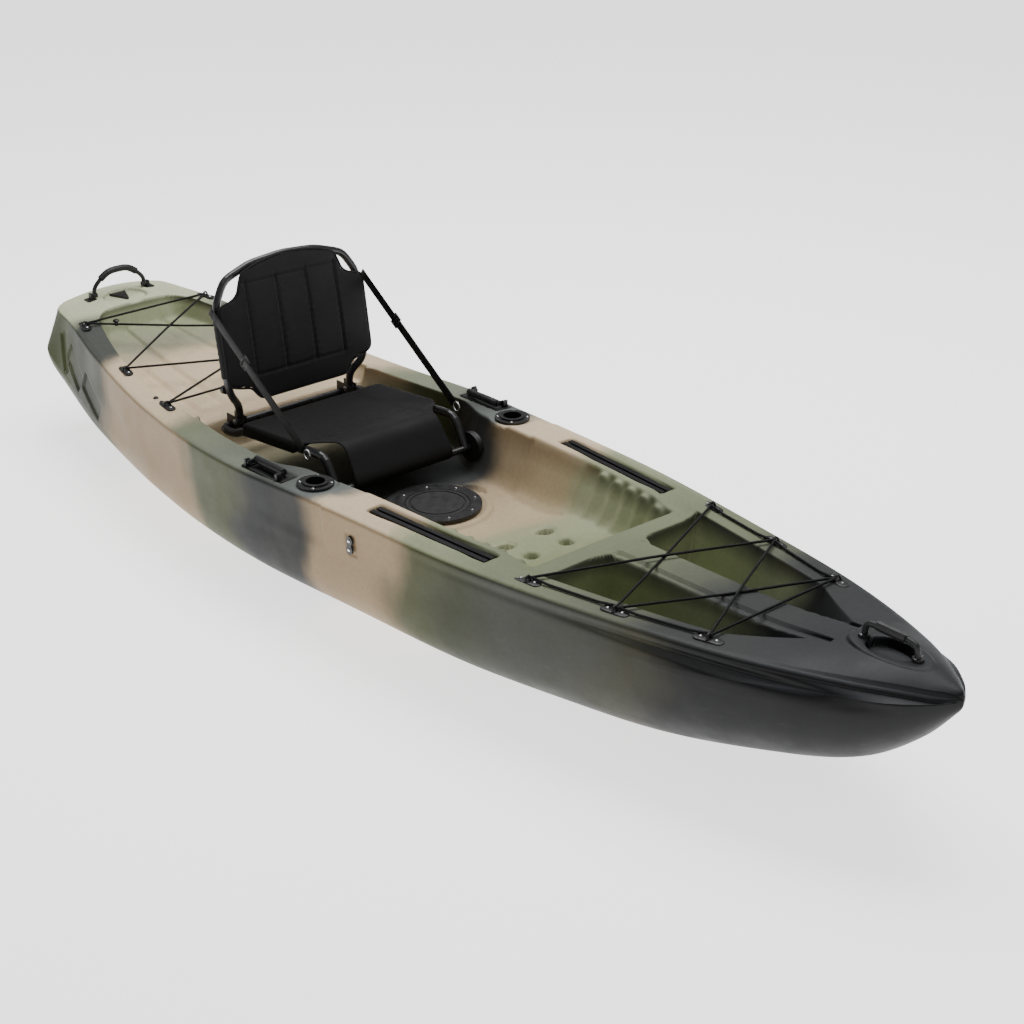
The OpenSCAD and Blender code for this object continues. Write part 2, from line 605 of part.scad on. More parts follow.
eye_t = 4;
eye_loop = 6.5;
module pad_eye() {
    difference() {
        union() {
            translate([-26, -9, 0]) cube([52, 18, eye_t]);
            translate([0, 0, eye_t]) rotate([90, 0, 0]) rotate_extrude(angle = 180)
                translate([eye_loop, 0]) circle(r = 2.4, $fn = 24);
        }
        for (end = [-1, 1]) translate([end * 18, 0, -1]) cylinder(r = 2.4, h = 20);
    }
}
module front_pad_eyes() {
    color([0.07, 0.07, 0.08]) for (i = [0:2]) for (side = [-1, 1]) translate(eye_front(i, side))
        rotate([0, 0, edge_angle(eye_front_x[i], side)]) pad_eye();
}
module rear_pad_eyes() {
    color([0.07, 0.07, 0.08]) for (i = [0:2]) for (side = [-1, 1]) translate(eye_rear(i, side))
        rotate([0, 0, edge_angle(eye_rear_x[i], side)]) pad_eye();
}
module pad_eye_rivets() {
    color("silver") for (i = [0:2]) for (side = [-1, 1]) for (end = [-1, 1]) {
        translate(eye_front(i, side)) rotate([0, 0, edge_angle(eye_front_x[i], side)])
            translate([end * 18, 0, eye_t]) screw(4.4, 2.3, 11);
        translate(eye_rear(i, side)) rotate([0, 0, edge_angle(eye_rear_x[i], side)])
            translate([end * 18, 0, eye_t]) screw(4.4, 2.3, 11);
    }
}
cord_r = cord_d / 2;
cord_lift = eye_t + cord_r + 2.6;
function cord_at(p) = [p[0], p[1], p[2] + cord_lift];
// Lacing crosses itself over and under by its own thickness
function crossing(a, b, t, lift) = lerp(a, b, t) + [0, 0, lift * (cord_r + 0.5)];
function front_eye_at(k) = cord_at(eye_front(k[0], k[1]));
function rear_eye_at(k) = cord_at(eye_rear(k[0], k[1]));
function laced(v, lifts) = [for (i = [0:len(v) - 1]) for (half = [0:(i < len(v) - 1 ? 1 : 0)])
    half == 0 ? v[i] : crossing(v[i], v[i + 1], 0.5, lifts[i])];
// Gunwale runs pass inboard of the rivets and follow the deck between two eyes
function gunwale_run(i, side) = let (a = eye_front(i, side), b = eye_front(i + 1, side), n = 5)
    [for (k = [0:n]) let (t = k / n, x = lerp(a[0] + 8, b[0] - 8, t), y = lerp(a[1], b[1], t) - side * 8,
                          on_eye = k == 0 || k == n ? eye_t : 0)
        [x, y, deck_z(x, y) + cord_r + 1.5 + on_eye]];
module front_bungee() {
    color([0.04, 0.04, 0.04]) {
        tube(rounded(laced([for (k = [[0, -1], [1, 1], [2, -1], [2, 1], [1, -1], [0, 1]]) front_eye_at(k)],
                           [1, 1, 0, -1, -1]), 6), cord_r, 8);
        for (side = [-1, 1]) for (i = [0:1]) tube(gunwale_run(i, side), cord_r, 8);
    }
}
module rear_bungee() {
    color([0.04, 0.04, 0.04])
        tube(rounded(laced(concat([for (k = [[0, -1], [0, 1], [1, -1], [2, 1], [2, -1], [1, 1]]) rear_eye_at(k)],
                                  [rear_eye_at([0, -1]) + [8, 6, 1]]),
                           [0, 1, 1, 0, -1, -1]), 6), cord_r, 8);
}

// Paddle keepers, plugs and foam -----------------------------------------------------------

module at_keeper(side) {
    mirror([0, side > 0 ? 0 : 1, 0]) translate([keeper_x, keeper_y, keeper_z]) rotate([-90, 0, 0]) children();
}
module paddle_keepers() {
    color([0.05, 0.05, 0.05]) for (side = [-1, 1]) at_keeper(side) difference() {
        union() {
            for (end = [-1, 1]) translate([0, end * 11, 0]) cylinder(r = 11, h = 5);
            translate([-7, -11, 0]) cube([14, 22, 5]);
        }
        for (end = [-1, 1]) translate([0, end * 11, -1]) cylinder(r = 2.4, h = 20);
    }
}
module paddle_keeper_screws() {
    color("silver") for (side = [-1, 1]) at_keeper(side) for (end = [-1, 1])
        translate([0, end * 11, 5]) screw(4.2, 2.3, 11);
}
drain_x = -half_l * 0.84;
drain_y = 118;
module drain_plug() {
    color([0.05, 0.05, 0.05]) translate([drain_x, -drain_y, deck_z(drain_x, drain_y)]) screw(9, 5, 12);
}
module deck_plugs() {
    color([0.05, 0.05, 0.05]) for (side = [-1, 1]) for (k = [0:1]) {
        x = eye_rear_x[2] - 62 + k * 30;
        y = half_b(x) - 48 - k * 2;
        translate([x, side * y, deck_z(x, y)]) screw(7 - 1.5 * k, 3, 11);
    }
}
foam_w = 60;
foam_len = 120;
module foam_pillar_bow() {
    x = half_l * 0.76;
    floor_z = keel_z(x + foam_len) + wall + 50;
    color("whitesmoke") translate([x, -foam_w / 2, floor_z])
        cube([foam_len, foam_w, sheer(x) - wall - 12 - floor_z]);
}
module foam_pillar_stern() {
    x = -half_l * 0.8;
    floor_z = keel_z(x) + wall + 10;
    color("whitesmoke") translate([x, -foam_w / 2, floor_z])
        cube([2 * foam_len, foam_w, tankwell_floor(-half_l * 0.6) - wall - 12 - floor_z]);
}

// Seat -------------------------------------------------------------------------------------

tube_r = tube_d / 2;
hinge_x = -half_l * 0.391;
hinge_z = sheer(hinge_x) - 16;
seat_half = seat_width / 2;
pan_rise = 40;
front_x = hinge_x + seat_length;
front_z = hinge_z + pan_rise;
cross_x = front_x + 52;
foot_r = 39;
cross_r = tube_r * 0.8;
foot_t = 16;
foot_lift = 19;
foot_z = cockpit_floor(cross_x) + foot_r + foot_lift;
foot_y = seat_half + tube_r + 2;
rear_x = hinge_x - 26;
rear_z = hinge_z - 18;
module seat_base_frame() {
    wide = seat_half + 12;
    color([0.06, 0.06, 0.06]) {
        tube(rounded([[cross_x, -seat_half, foot_z], [front_x + 10, -seat_half, front_z - 4],
                      [front_x - 30, -seat_half, front_z - 6], [hinge_x + 66, -seat_half, hinge_z],
                      [hinge_x + 30, -wide, rear_z], [rear_x, -wide, rear_z],
                      [rear_x, wide, rear_z], [hinge_x + 30, wide, rear_z], [hinge_x + 66, seat_half, hinge_z],
                      [front_x - 30, seat_half, front_z - 6], [front_x + 10, seat_half, front_z - 4],
                      [cross_x, seat_half, foot_z]], 24), tube_r);
        bar([cross_x, -foot_y, foot_z], [cross_x, foot_y, foot_z], cross_r);
    }
}
module seat_feet() {
    color([0.04, 0.04, 0.04]) for (side = [-1, 1])
        bar([cross_x, side * (foot_y + 0.05), foot_z], [cross_x, side * (foot_y + foot_t), foot_z], foot_r);
}
module seat_foot_bolts() {
    color("silver") for (side = [-1, 1])
        bar([cross_x, side * (foot_y + foot_t), foot_z], [cross_x, side * (foot_y + foot_t + 4), foot_z], 7);
}

// The pan is a sling: a flat top that wraps the side tubes, then a front fall to the cross bar
pan_half = seat_half + tube_r + 5;
pan_t = 10;
pan_rear = hinge_x + 74;
fall_half = seat_half * 0.74;
pan_slope = atan2(pan_rise, seat_length);
pan_len = front_x - 30 - pan_rear;
module seat_pan() {
    h = pan_half;
    up = tube_r + run_gap - 4;
    top_z = front_z + up - 30 * sin(pan_slope);
    color([0.07, 0.07, 0.07]) {
        translate([pan_rear, 0, hinge_z + (pan_rear - hinge_x) * tan(pan_slope) + up]) rotate([90, 0, 90])
            multmatrix([[1, 0, 0, 0], [0, 1, tan(pan_slope), 0], [0, 0, 1, 0]]) linear_extrude(pan_len)
            polygon([[-h, -26], [-h + 3, -26], [-h + 6, 0], [h - 6, 0], [h - 3, -26],
                     [h, -26], [h, pan_t - 4], [h - 8, pan_t], [-h + 8, pan_t], [-h, pan_t - 4]]);
        translate([0, fall_half, 0]) rotate([90, 0, 0]) linear_extrude(2 * fall_half)
            polygon([[front_x - 44, top_z + 1], [front_x - 44, top_z + pan_t - 4],
                     [front_x + 6, front_z + tube_r + 6], [front_x + 22, front_z + tube_r - 6],
                     [cross_x + tube_r + 8, foot_z + 10], [cross_x + tube_r + 4, foot_z - 12],
                     [cross_x - 4, foot_z - tube_r - 6], [cross_x - 4, foot_z - tube_r - 2],
                     [cross_x + tube_r - 1, foot_z - 6], [cross_x + tube_r, foot_z + 8],
                     [front_x + 12, front_z + 2], [front_x, front_z + tube_r - 4]]);
    }
}

bracket_y = seat_half - 26;
back_barrel_w = 19;
cheek_gap = back_barrel_w / 2 + run_gap;
module seat_hinge_brackets() {
    color([0.08, 0.08, 0.08]) for (side = [-1, 1]) translate([hinge_x, side * bracket_y, hinge_z])
        difference() {
            union() {
                for (cheek = [-1, 1]) translate([-40, cheek * (cheek_gap + 1.5) - 1.5, -34]) cube([52, 3, 46]);
                translate([-40, -cheek_gap - 2, -34]) cube([26, 2 * cheek_gap + 4, 30]);
            }
            translate([0, 30, 0]) rotate([90, 0, 0]) cylinder(r = 4, h = 60);
            translate([rear_x - hinge_x, 30, rear_z - hinge_z]) rotate([90, 0, 0]) cylinder(r = tube_r, h = 60);
        }
}
module seat_hinge_bolts() {
    out = cheek_gap + 3;
    color("silver") for (side = [-1, 1]) translate([hinge_x, side * bracket_y, hinge_z])
        for (end = [-1, 1]) {
            bar([0, 0, 0], [0, end * (out + 1), 0], 4);
            bar([0, end * out, 0], [0, end * (out + 4), 0], 7);
        }
}

// The backrest is drawn upright over its hinge, then leaned back
back_tube_r = tube_r * 0.9;
back_half = seat_half + 16;
back_low = 92;
module leaned() {
    translate([hinge_x, 0, hinge_z]) rotate([0, -back_lean, 0]) children();
}
module seat_back_frame() {
    fwd = 36;
    h = back_height;
    color([0.06, 0.06, 0.06]) leaned() difference() {
        union() {
            tube(rounded([[0, -bracket_y, 0], [6, -bracket_y, 42], [fwd - 6, -back_half + 8, 78],
                          [fwd, -back_half, back_low + 30], [fwd, -back_half, h - 90],
                          [fwd - 3, -back_half + 34, h - 34], [fwd - 6, -100, h - 8], [fwd - 6, 0, h],
                          [fwd - 6, 100, h - 8], [fwd - 3, back_half - 34, h - 34], [fwd, back_half, h - 90],
                          [fwd, back_half, back_low + 30], [fwd - 6, back_half - 8, 78],
                          [6, bracket_y, 42], [0, bracket_y, 0]], 22), back_tube_r);
            for (side = [-1, 1]) translate([0, side * bracket_y, 0]) rotate([90, 0, 0])
                cylinder(r = back_tube_r, h = back_barrel_w, center = true);
        }
        translate([0, 400, 0]) rotate([90, 0, 0]) cylinder(r = 4.05, h = 800);
        for (side = [-1, 1]) for (end = [-1, 1])
            translate([0, side * bracket_y + end * (back_barrel_w / 2 + 10), 0]) cube([40, 20, 40], center = true);
    }
}
back_pad_t = 14;
module seat_back_pad() {
    fwd = 36 + back_tube_r + run_gap;
    h = back_height;
    w = back_half + back_tube_r - 2;
    color([0.07, 0.07, 0.07]) leaned() translate([fwd, 0, 0]) rotate([90, 0, 90]) linear_extrude(back_pad_t)
        polygon([[-w, back_low + 6], [-w + 60, back_low - 8], [-w + 84, back_low - 40], [w - 84, back_low - 40],
                 [w - 60, back_low - 8], [w, back_low + 6], [w, h - 92], [w - 52, h - 84], [w - 66, h - 60],
                 [w - 74, h - 24], [w - 130, h - 4], [0, h + 8], [-w + 130, h - 4], [-w + 74, h - 24],
                 [-w + 66, h - 60], [-w + 52, h - 84], [-w, h - 92]]);
}
module seat_back_knobs() {
    color([0.04, 0.04, 0.04]) leaned() for (side = [-1, 1])
        translate([36, side * back_half, back_low + 2]) rotate([0, -90, 0]) translate([0, 0, back_tube_r])
            cylinder(r = 11, h = 12);
}

// Side straps run from the backrest's upper corners to hooks at the front of the seat
strap_t = 3;
hook_x = front_x - 14;
hook_y = seat_half + tube_r + 21;
hook_z = front_z - 8;
strap_foot = [hook_x - 16, hook_y, hook_z + 18];
function leaned_point(x, z) = [hinge_x + x * cos(back_lean) - z * sin(back_lean),
                               hinge_z + x * sin(back_lean) + z * cos(back_lean)];
strap_high = leaned_point(36, back_height - 98);
strap_head = [strap_high[0], back_half + back_tube_r + 8, strap_high[1]];
strap_run = strap_head - strap_foot;
strap_tilt = atan2(-strap_run[0], strap_run[2]);
strap_splay = asin(strap_run[1] / norm(strap_run));
module along_strap(side) {
    mirror([0, side > 0 ? 0 : 1, 0]) translate(strap_foot) rotate([0, -strap_tilt, 0])
        rotate([-strap_splay, 0, 0]) children();
}
module strap(side) {
    color([0.05, 0.05, 0.05]) along_strap(side)
        translate([-strap_w / 2, -strap_t / 2, 0]) cube([strap_w, strap_t, norm(strap_run)]);
}
module strap_starboard() { strap(-1); }
module strap_port() { strap(1); }
buckle_at = 0.62;
module strap_buckles() {
    color([0.05, 0.05, 0.05]) for (side = [-1, 1]) along_strap(side)
        translate([0, 0, norm(strap_run) * buckle_at]) difference() {
            cube([strap_w + 12, strap_t + 7, 26], center = true);
            cube([strap_w + 1, strap_t + 1, 40], center = true);
        }
}
module strap_hooks() {
    color("silver") for (side = [-1, 1]) along_strap(side) {
        translate([0, 0, -13]) rotate([90, 0, 0]) rotate_extrude() translate([12, 0]) circle(r = 2, $fn = 24);
    }
}

hull_shell();
hatch_ring();
hatch_ring_screws();
hatch_seal();
hatch_lid();
rod_holder_starboard();
rod_holder_port();
rod_holder_screws();
gear_track_starboard();
gear_track_port();
gear_track_screws();
side_handle_base_starboard();
side_handle_base_port();
side_handle_grip_starboard();
side_handle_grip_port();
bow_handle();
bow_handle_screws();
stern_handle();
stern_handle_anchors();
stern_pocket_insert();
front_pad_eyes();
rear_pad_eyes();
pad_eye_rivets();
front_bungee();
rear_bungee();
paddle_keepers();
paddle_keeper_screws();
drain_plug();
deck_plugs();
foam_pillar_bow();
foam_pillar_stern();
seat_base_frame();
seat_feet();
seat_foot_bolts();
seat_pan();
seat_hinge_brackets();
seat_hinge_bolts();
seat_back_frame();
seat_back_pad();
seat_back_knobs();
strap_starboard();
strap_port();
strap_buckles();
strap_hooks();
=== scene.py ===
"""Sit-on-top fishing kayak: the looks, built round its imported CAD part.

Lengths are metres. X runs from stern to bow, Y to port and Z up from the keel.
"""
import json
import math

import bpy
import numpy as np
from mathutils import Matrix, Vector


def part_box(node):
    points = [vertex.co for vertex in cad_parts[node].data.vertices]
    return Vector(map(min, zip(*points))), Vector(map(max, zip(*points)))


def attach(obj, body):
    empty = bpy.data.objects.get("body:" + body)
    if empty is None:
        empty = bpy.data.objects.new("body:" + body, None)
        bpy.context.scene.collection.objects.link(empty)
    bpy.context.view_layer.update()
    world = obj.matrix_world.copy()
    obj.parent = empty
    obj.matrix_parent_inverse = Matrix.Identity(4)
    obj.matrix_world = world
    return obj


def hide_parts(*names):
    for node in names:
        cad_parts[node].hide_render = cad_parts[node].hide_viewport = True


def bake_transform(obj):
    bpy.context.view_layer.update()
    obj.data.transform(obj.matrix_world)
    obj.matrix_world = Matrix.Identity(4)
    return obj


bl_info = {
    "name": "Fishing kayak builder",
    "version": (1, 0, 0),
    "blender": (4, 5, 0),
    "location": "View3D > Sidebar > Kayak",
    "description": "Builds the hull, fittings, seat and lacing of a sit-on-top kayak round its CAD part",
    "category": "Object",
}

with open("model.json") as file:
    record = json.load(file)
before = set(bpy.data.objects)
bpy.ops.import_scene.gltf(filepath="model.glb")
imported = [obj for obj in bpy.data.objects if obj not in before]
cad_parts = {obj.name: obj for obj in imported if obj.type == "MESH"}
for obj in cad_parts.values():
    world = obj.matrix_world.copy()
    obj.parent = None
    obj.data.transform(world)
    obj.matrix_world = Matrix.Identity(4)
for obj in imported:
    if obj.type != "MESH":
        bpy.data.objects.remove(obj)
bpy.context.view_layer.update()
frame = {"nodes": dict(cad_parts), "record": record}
BOX_HIGH = Vector(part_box("hull_shell")[1])
HALF_LENGTH = BOX_HIGH.x
HALF_BEAM = BOX_HIGH.y
HULL_DEPTH = 0.330

# ---------------------------------------------------------------- hull lines, as in the CAD source
# shares of the length against percent of the half beam or of the depth
BEAM_LINE = ((-50, 42), (-49, 48.5), (-46, 54), (-38, 70), (-26, 89), (-11, 100), (3, 95.5), (14, 90),
             (26, 75),
             (36, 58), (44, 35), (48.5, 14), (50, 2))
SHEER_LINE = ((-50, 110), (-44, 108), (-38, 102), (-26, 95.5), (-18, 94), (-8, 97), (3, 100), (20, 101.5),
              (36, 105), (46, 107), (50, 105))
CHINE_LINE = ((-50, 79), (-46, 62), (-38, 46), (-26, 48), (-13, 50), (0, 60), (14, 68), (26, 79), (36, 90),
              (44, 99), (50, 103))
FLARE_LINE = ((-50, 12), (-46, 8), (-33, 0), (-10, -3), (20, -2), (36, 3), (46, 6), (50, 0))
KEEL_LINE = ((-50, 55), (-47, 42), (-40, 22), (-30, 7), (-20, 0), (20, 0), (29, 4), (39, 26), (44, 44),
             (47.5, 70), (50, 98))
CROWN_LINE = ((-50, 6), (-44, 6), (-20, 3), (8, 2.4), (20, 1.4), (35, 1.4), (41, 6), (46, 9), (50, 4))
BILGE_LINE = ((-50, 88), (-30, 92), (0, 92), (14, 82), (26, 50), (36, 32), (50, 20))


def curve(line, x):
    """Smooth curve through a line's knots; x in metres from midlength."""
    s = np.clip(np.asarray(x, float) * 50 / HALF_LENGTH, -50, 50)
    kx, ky = (np.array(v, float) for v in zip(*line))
    slope = np.empty_like(ky)
    slope[1:-1] = (ky[2:] - ky[:-2]) / (kx[2:] - kx[:-2])
    slope[0], slope[-1] = (ky[1] - ky[0]) / (kx[1] - kx[0]), (ky[-1] - ky[-2]) / (kx[-1] - kx[-2])
    i = np.clip(np.searchsorted(kx, s, side="right") - 1, 0, len(kx) - 2)
    h = kx[i + 1] - kx[i]
    t = (s - kx[i]) / h
    return ((2 * t**3 - 3 * t**2 + 1) * ky[i] + (t**3 - 2 * t**2 + t) * h * slope[i]
            + (3 * t**2 - 2 * t**3) * ky[i + 1] + (t**3 - t**2) * h * slope[i + 1])


def lerp(a, b, t):
    return a + (b - a) * np.clip(t, 0, 1)


def smooth(a, b, x):
    t = np.clip((np.asarray(x, float) - a) / (b - a), 0, 1)
    return t * t * (3 - 2 * t)


def half_b(x):
    return np.maximum(0.003, HALF_BEAM * curve(BEAM_LINE, x) / 100)


def sheer(x):
    return HULL_DEPTH * curve(SHEER_LINE, x) / 100


def keel_z(x):
    return np.maximum(0, HULL_DEPTH * curve(KEEL_LINE, x) / 100)


def deck_z(x, y):
    return sheer(x) + HULL_DEPTH * curve(CROWN_LINE,
                                         x) / 100 * (1 - np.minimum(1, (np.abs(y) / half_b(x)) ** 2))


# ---------------------------------------------------------------- where the fittings sit, from the CAD nodes
def centre(node):
    low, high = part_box(node)
    return (Vector(low) + Vector(high)) / 2


HATCH = centre("hatch_ring")
HATCH_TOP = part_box("hatch_ring")[1].z - 0.003
ROD = centre("rod_holder_port")
ROD_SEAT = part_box("rod_holder_port")[1].z - 0.010
TRACK_LOW, TRACK_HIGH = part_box("gear_track_port")
TRACK_ANGLE = math.radians(-4.17)
TRACK_LENGTH = 0.366
TRACK_WIDTH = 0.032
TRACK_AFT = Vector((TRACK_LOW.x + 0.0011, TRACK_HIGH.y - 0.0160, TRACK_HIGH.z - 0.004))
HANDLE = centre("side_handle_base_port")
HANDLE_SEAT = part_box("side_handle_base_port")[0].z
KEEPER = centre("paddle_keepers")
KEEPER_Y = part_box("paddle_keepers")[1].y
KEEPER = Vector((KEEPER.x, KEEPER_Y - 0.005, KEEPER.z))
BOW_HANDLE = centre("bow_handle")
BOW_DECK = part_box("bow_handle")[0].z
STERN_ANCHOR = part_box("stern_handle_anchors")
STERN_X = (STERN_ANCHOR[0].x + STERN_ANCHOR[1].x) / 2
STERN_DECK = STERN_ANCHOR[0].z
TANK_AFT = -0.9 * HALF_LENGTH
SEAT_WELL_AFT = -0.445 * HALF_LENGTH
BULKHEAD = 0.375 * HALF_LENGTH
POCKET_AFT = BULKHEAD + 0.038
SCUPPERS = ((0.2974, 0.062, 0.015), (0.3813, 0.054, 0.010))
SPINE_HALF = 0.034
TANK_DEPTH = 0.046
RIB_HALF, RIB_DEPTH = 0.026, 0.17
WALL_PANEL = (0.045, 0.262)
BAR_FORE = 1.243
POCKET_TURN = 0.055
FOOT_RIBS = (0.320, 0.372, 0.420, 0.468, 0.520)
LEDGE = 0.046
# centre x and z, lean, half length and half width of each pressed panel
QUARTER_PANELS = ((-1.400, 0.265, -1.10, 0.052, 0.012), (-1.320, 0.245, -0.60, 0.056, 0.026),
                  (-1.190, 0.205, -0.50, 0.060, 0.026))


def tank_top(x):
    return (half_b(x) - 0.056 - lerp(0.018, 0, (x - TANK_AFT) / 0.3)
            - lerp(0, 0.020, (x - SEAT_WELL_AFT + 0.120) / 0.120))


def tank_floor(x):
    return sheer(x) - TANK_DEPTH + lerp(0, 0.008, (x - TANK_AFT) / 0.8)


def cockpit_top(x):
    return half_b(x) - lerp(0.080, 0.108, smooth(0, 1, (x - ROD.x + 0.190) / 0.120))


def cockpit_foot(x):
    return cockpit_top(x) - lerp(0.032, 0.078, (x - ROD.x + 0.190) / 0.150)


def slope_into(t, lip=0.16, heel=0.34):
    """Depth share down a wall: 0 at the rim, 1 on the floor, with a small round lip and a larger round foot."""
    t = np.clip(t, 0, 1)
    k = 1 / (1 - (lip + heel) / 2)
    rise = np.where(t < lip, k * t * t / (2 * lip), k * (t - lip / 2))
    return np.where(t > 1 - heel, 1 - k * (1 - t) ** 2 / (2 * heel), rise)


def corner(a, b):
    """Joins two wall distances, each 0 at the rim and 1 on the floor, with a round corner."""
    a, b = np.clip(1 - a, 0, None), np.clip(1 - b, 0, None)
    return 1 - np.sqrt(a * a + b * b)


def spot(x, y, cx, cy, rx, ry, edge):
    """1 inside an ellipse, 0 outside, with a soft edge that wide."""
    r = np.sqrt(((x - cx) / rx) ** 2 + ((y - cy) / ry) ** 2)
    return smooth(1 + edge / min(rx, ry), 1, r)


def slot_mask(x, y, ax, ay, bx, by, half, edge):
    """1 along a line between two points, 0 beyond its half width, with a soft edge."""
    dx, dy = bx - ax, by - ay
    t = np.clip(((x - ax) * dx + (y - ay) * dy) / (dx * dx + dy * dy), 0, 1)
    r = np.hypot(x - ax - t * dx, y - ay - t * dy)
    return smooth(half + edge, half, r)


def panel_mask(x, y, cx, cy, angle, half_long, half_wide, edge):
    """1 inside a rectangle turned in plan, 0 outside, with a soft edge."""
    c, s = math.cos(angle), math.sin(angle)
    u = np.abs((x - cx) * c + (y - cy) * s) - half_long
    v = np.abs(-(x - cx) * s + (y - cy) * c) - half_wide
    d = np.hypot(np.maximum(u, 0), np.maximum(v, 0))
    return smooth(edge, 0, d)


def deck_height(x, y):
    """Height of the deck and of everything moulded into it; returns it with the depth share below the rim."""
    a = np.abs(y)
    rim = deck_z(x, y)
    z = rim.copy()

    # raised shoulder of the rim beside the footwell
    shoulder = smooth(0.030, 0.052, x) * smooth(0.66, 0.58, x) * smooth(cockpit_top(x) - 0.012,
        cockpit_top(x) + 0.004, a)
    z += 0.004 * shoulder * smooth(half_b(x) - 0.012, half_b(x) - 0.030, a)

    # tankwell, open forward into the seat well
    t_side = (tank_top(x) - a) / 0.024
    t_aft = (x - TANK_AFT) / 0.038
    well = slope_into(np.minimum(np.minimum(t_side, t_aft),
                                 corner(np.clip(t_aft * 0.45, 0, 1), np.clip(t_side * 0.45, 0, 1)) * 2.0))
    tank = np.where(x < SEAT_WELL_AFT + 0.030, well, 0)
    floor = tank_floor(x)
    for ay, fy, ax_, fx in ((0.061, 0.115, -1.34, -0.776), (0.160, 0.196, -1.081, -0.761)):
        groove = slot_mask(x, a, ax_, ay, fx, fy, 0.004, 0.009)
        floor = floor - 0.006 * groove
        floor = floor + 0.0025 * slot_mask(x, a, ax_ + 0.02, ay - 0.022, fx, fy - 0.022, 0.008, 0.012)
    z = z + (floor - z) * tank

    # seat well and footwell
    c_top, c_foot = cockpit_top(x), cockpit_foot(x)
    rib = np.max([np.clip(1 - np.abs(x - at) / RIB_HALF, 0, 1) for at in FOOT_RIBS], axis=0)
    t_side = (c_top - a) / (c_top - c_foot)
    t_side = t_side - RIB_DEPTH * rib * smooth(0.02, 0.25, t_side) * smooth(1.20, 0.85, t_side)
    t_aft = (x - SEAT_WELL_AFT) / 0.026
    t_fore = (BULKHEAD - 0.006 - x) / 0.085
    sides = np.minimum(t_side, corner(np.clip(t_aft * 0.4, 0, 1), np.clip(t_side * 0.4, 0, 1)) * 2.5)
    sides = np.where(x < -0.3, sides, t_side)
    well = slope_into(np.minimum(np.minimum(sides, t_aft), t_fore), 0.10, 0.40)
    base = 0.197 + lerp(0, 0.039, smooth(0.14, 0.34, x))
    # round terrace round the deck plate, and the flat it sits on
    reach = np.hypot(x - HATCH.x, y)
    base = base + 0.0075 * smooth(0.137, 0.131, reach)
    base = np.where(reach < 0.118, lerp(base, HATCH_TOP - 0.0095, (0.118 - reach) / 0.004), base)
    base = base + 0.004 * smooth(0.36, 0.50, x) * smooth(0.16, 0.05, a)
    base = base - 0.014 * spot(x, a, -0.044, 0.137, 0.030, 0.018, 0.006)
    z = z + (np.minimum(base, rim - 0.010) - z) * np.where(x > SEAT_WELL_AFT, well, 0)
    inner = np.maximum(tank, np.where(x > SEAT_WELL_AFT, well, 0))

    # wall panel that steps in beside the footwell
    panel = smooth(WALL_PANEL[0], 0.062, x) * smooth(WALL_PANEL[1], 0.245, x) * smooth(0.03, 0.2,
        t_side) * smooth(1.1, 0.9, t_side)
    z = z + 0.007 * panel

    # scuppers
    for sx, sy, sr in SCUPPERS:
        z = z - 0.0045 * spot(x, a, sx, sy, sr * 1.75, sr * 1.75, 0.006)
        z = z - 0.060 * spot(x, a, sx, sy, sr * 1.22, sr * 1.22, 0.003)

    # bow pockets each side of the spine
    p_out = np.minimum(half_b(x) - 0.074, SPINE_HALF + (1.25 - x) * 0.62)
    d_aft, d_in, turn = x - POCKET_AFT, a - LEDGE, POCKET_TURN
    d = np.where((d_aft < turn) & (d_in < turn), turn - np.hypot(turn - d_aft, turn - d_in),
                 np.minimum(d_aft, d_in))
    pocket = slope_into(np.minimum((p_out - a) / 0.058, d / 0.036), 0.08, 0.30)
    pocket_floor = np.minimum(lerp(0.226, 0.330, (x - 0.82) / 0.43), rim)
    z = z + (pocket_floor - z) * pocket
    inner = np.maximum(inner, pocket)
    # saddle on the bulkhead, lower than the rim
    saddle = smooth(BULKHEAD - 0.10, BULKHEAD - 0.02, x) * smooth(0.66, 0.60, x) * smooth(p_out + 0.012,
        p_out - 0.03, a)
    z = z - 0.012 * saddle * (1 - inner)
    # the spine stands above a ledge on each side
    ledge = smooth(SPINE_HALF, SPINE_HALF + 0.0025, a) * smooth(LEDGE + 0.006, LEDGE + 0.003, a)
    z = z - 0.009 * ledge * smooth(0.632, 0.640, x) * smooth(BAR_FORE, BAR_FORE - 0.008, x) * (1 - pocket)

    # seats of the fittings
    def flatten(mask, level):
        nonlocal z
        z = z + (level - z) * mask

    dx = TRACK_LENGTH / 2
    mx, my = TRACK_AFT.x + dx * math.cos(TRACK_ANGLE), TRACK_AFT.y + dx * math.sin(TRACK_ANGLE)
    flatten(panel_mask(x, a, mx, my, TRACK_ANGLE, dx + 0.003, TRACK_WIDTH / 2 + 0.002, 0.008),
            TRACK_AFT.z - 0.0045)
    flatten(panel_mask(x, a, mx, my, TRACK_ANGLE, dx + 0.0005, TRACK_WIDTH / 2 + 0.0005, 0.003),
            TRACK_AFT.z - 0.014)
    flatten(spot(x, a, ROD.x, ROD.y, 0.049, 0.049, 0.010), ROD_SEAT - 0.0005)
    flatten(spot(x, a, ROD.x, ROD.y, 0.033, 0.033, 0.002), ROD_SEAT - 0.130)
    flatten(panel_mask(x, a, HANDLE.x, HANDLE.y, -0.020, 0.077, 0.022, 0.009), HANDLE_SEAT - 0.0004)
    flatten(spot(x, y, BOW_HANDLE.x, 0, 0.094, 0.046, 0.004), BOW_DECK - 0.0002)
    flatten(spot(x, y, BOW_HANDLE.x, 0, 0.048, 0.034, 0.005), BOW_DECK - 0.022)
    flatten(spot(x, y, STERN_X + 0.03, 0, 0.046, 0.058, 0.010), STERN_DECK - 0.0065)
    return z, inner


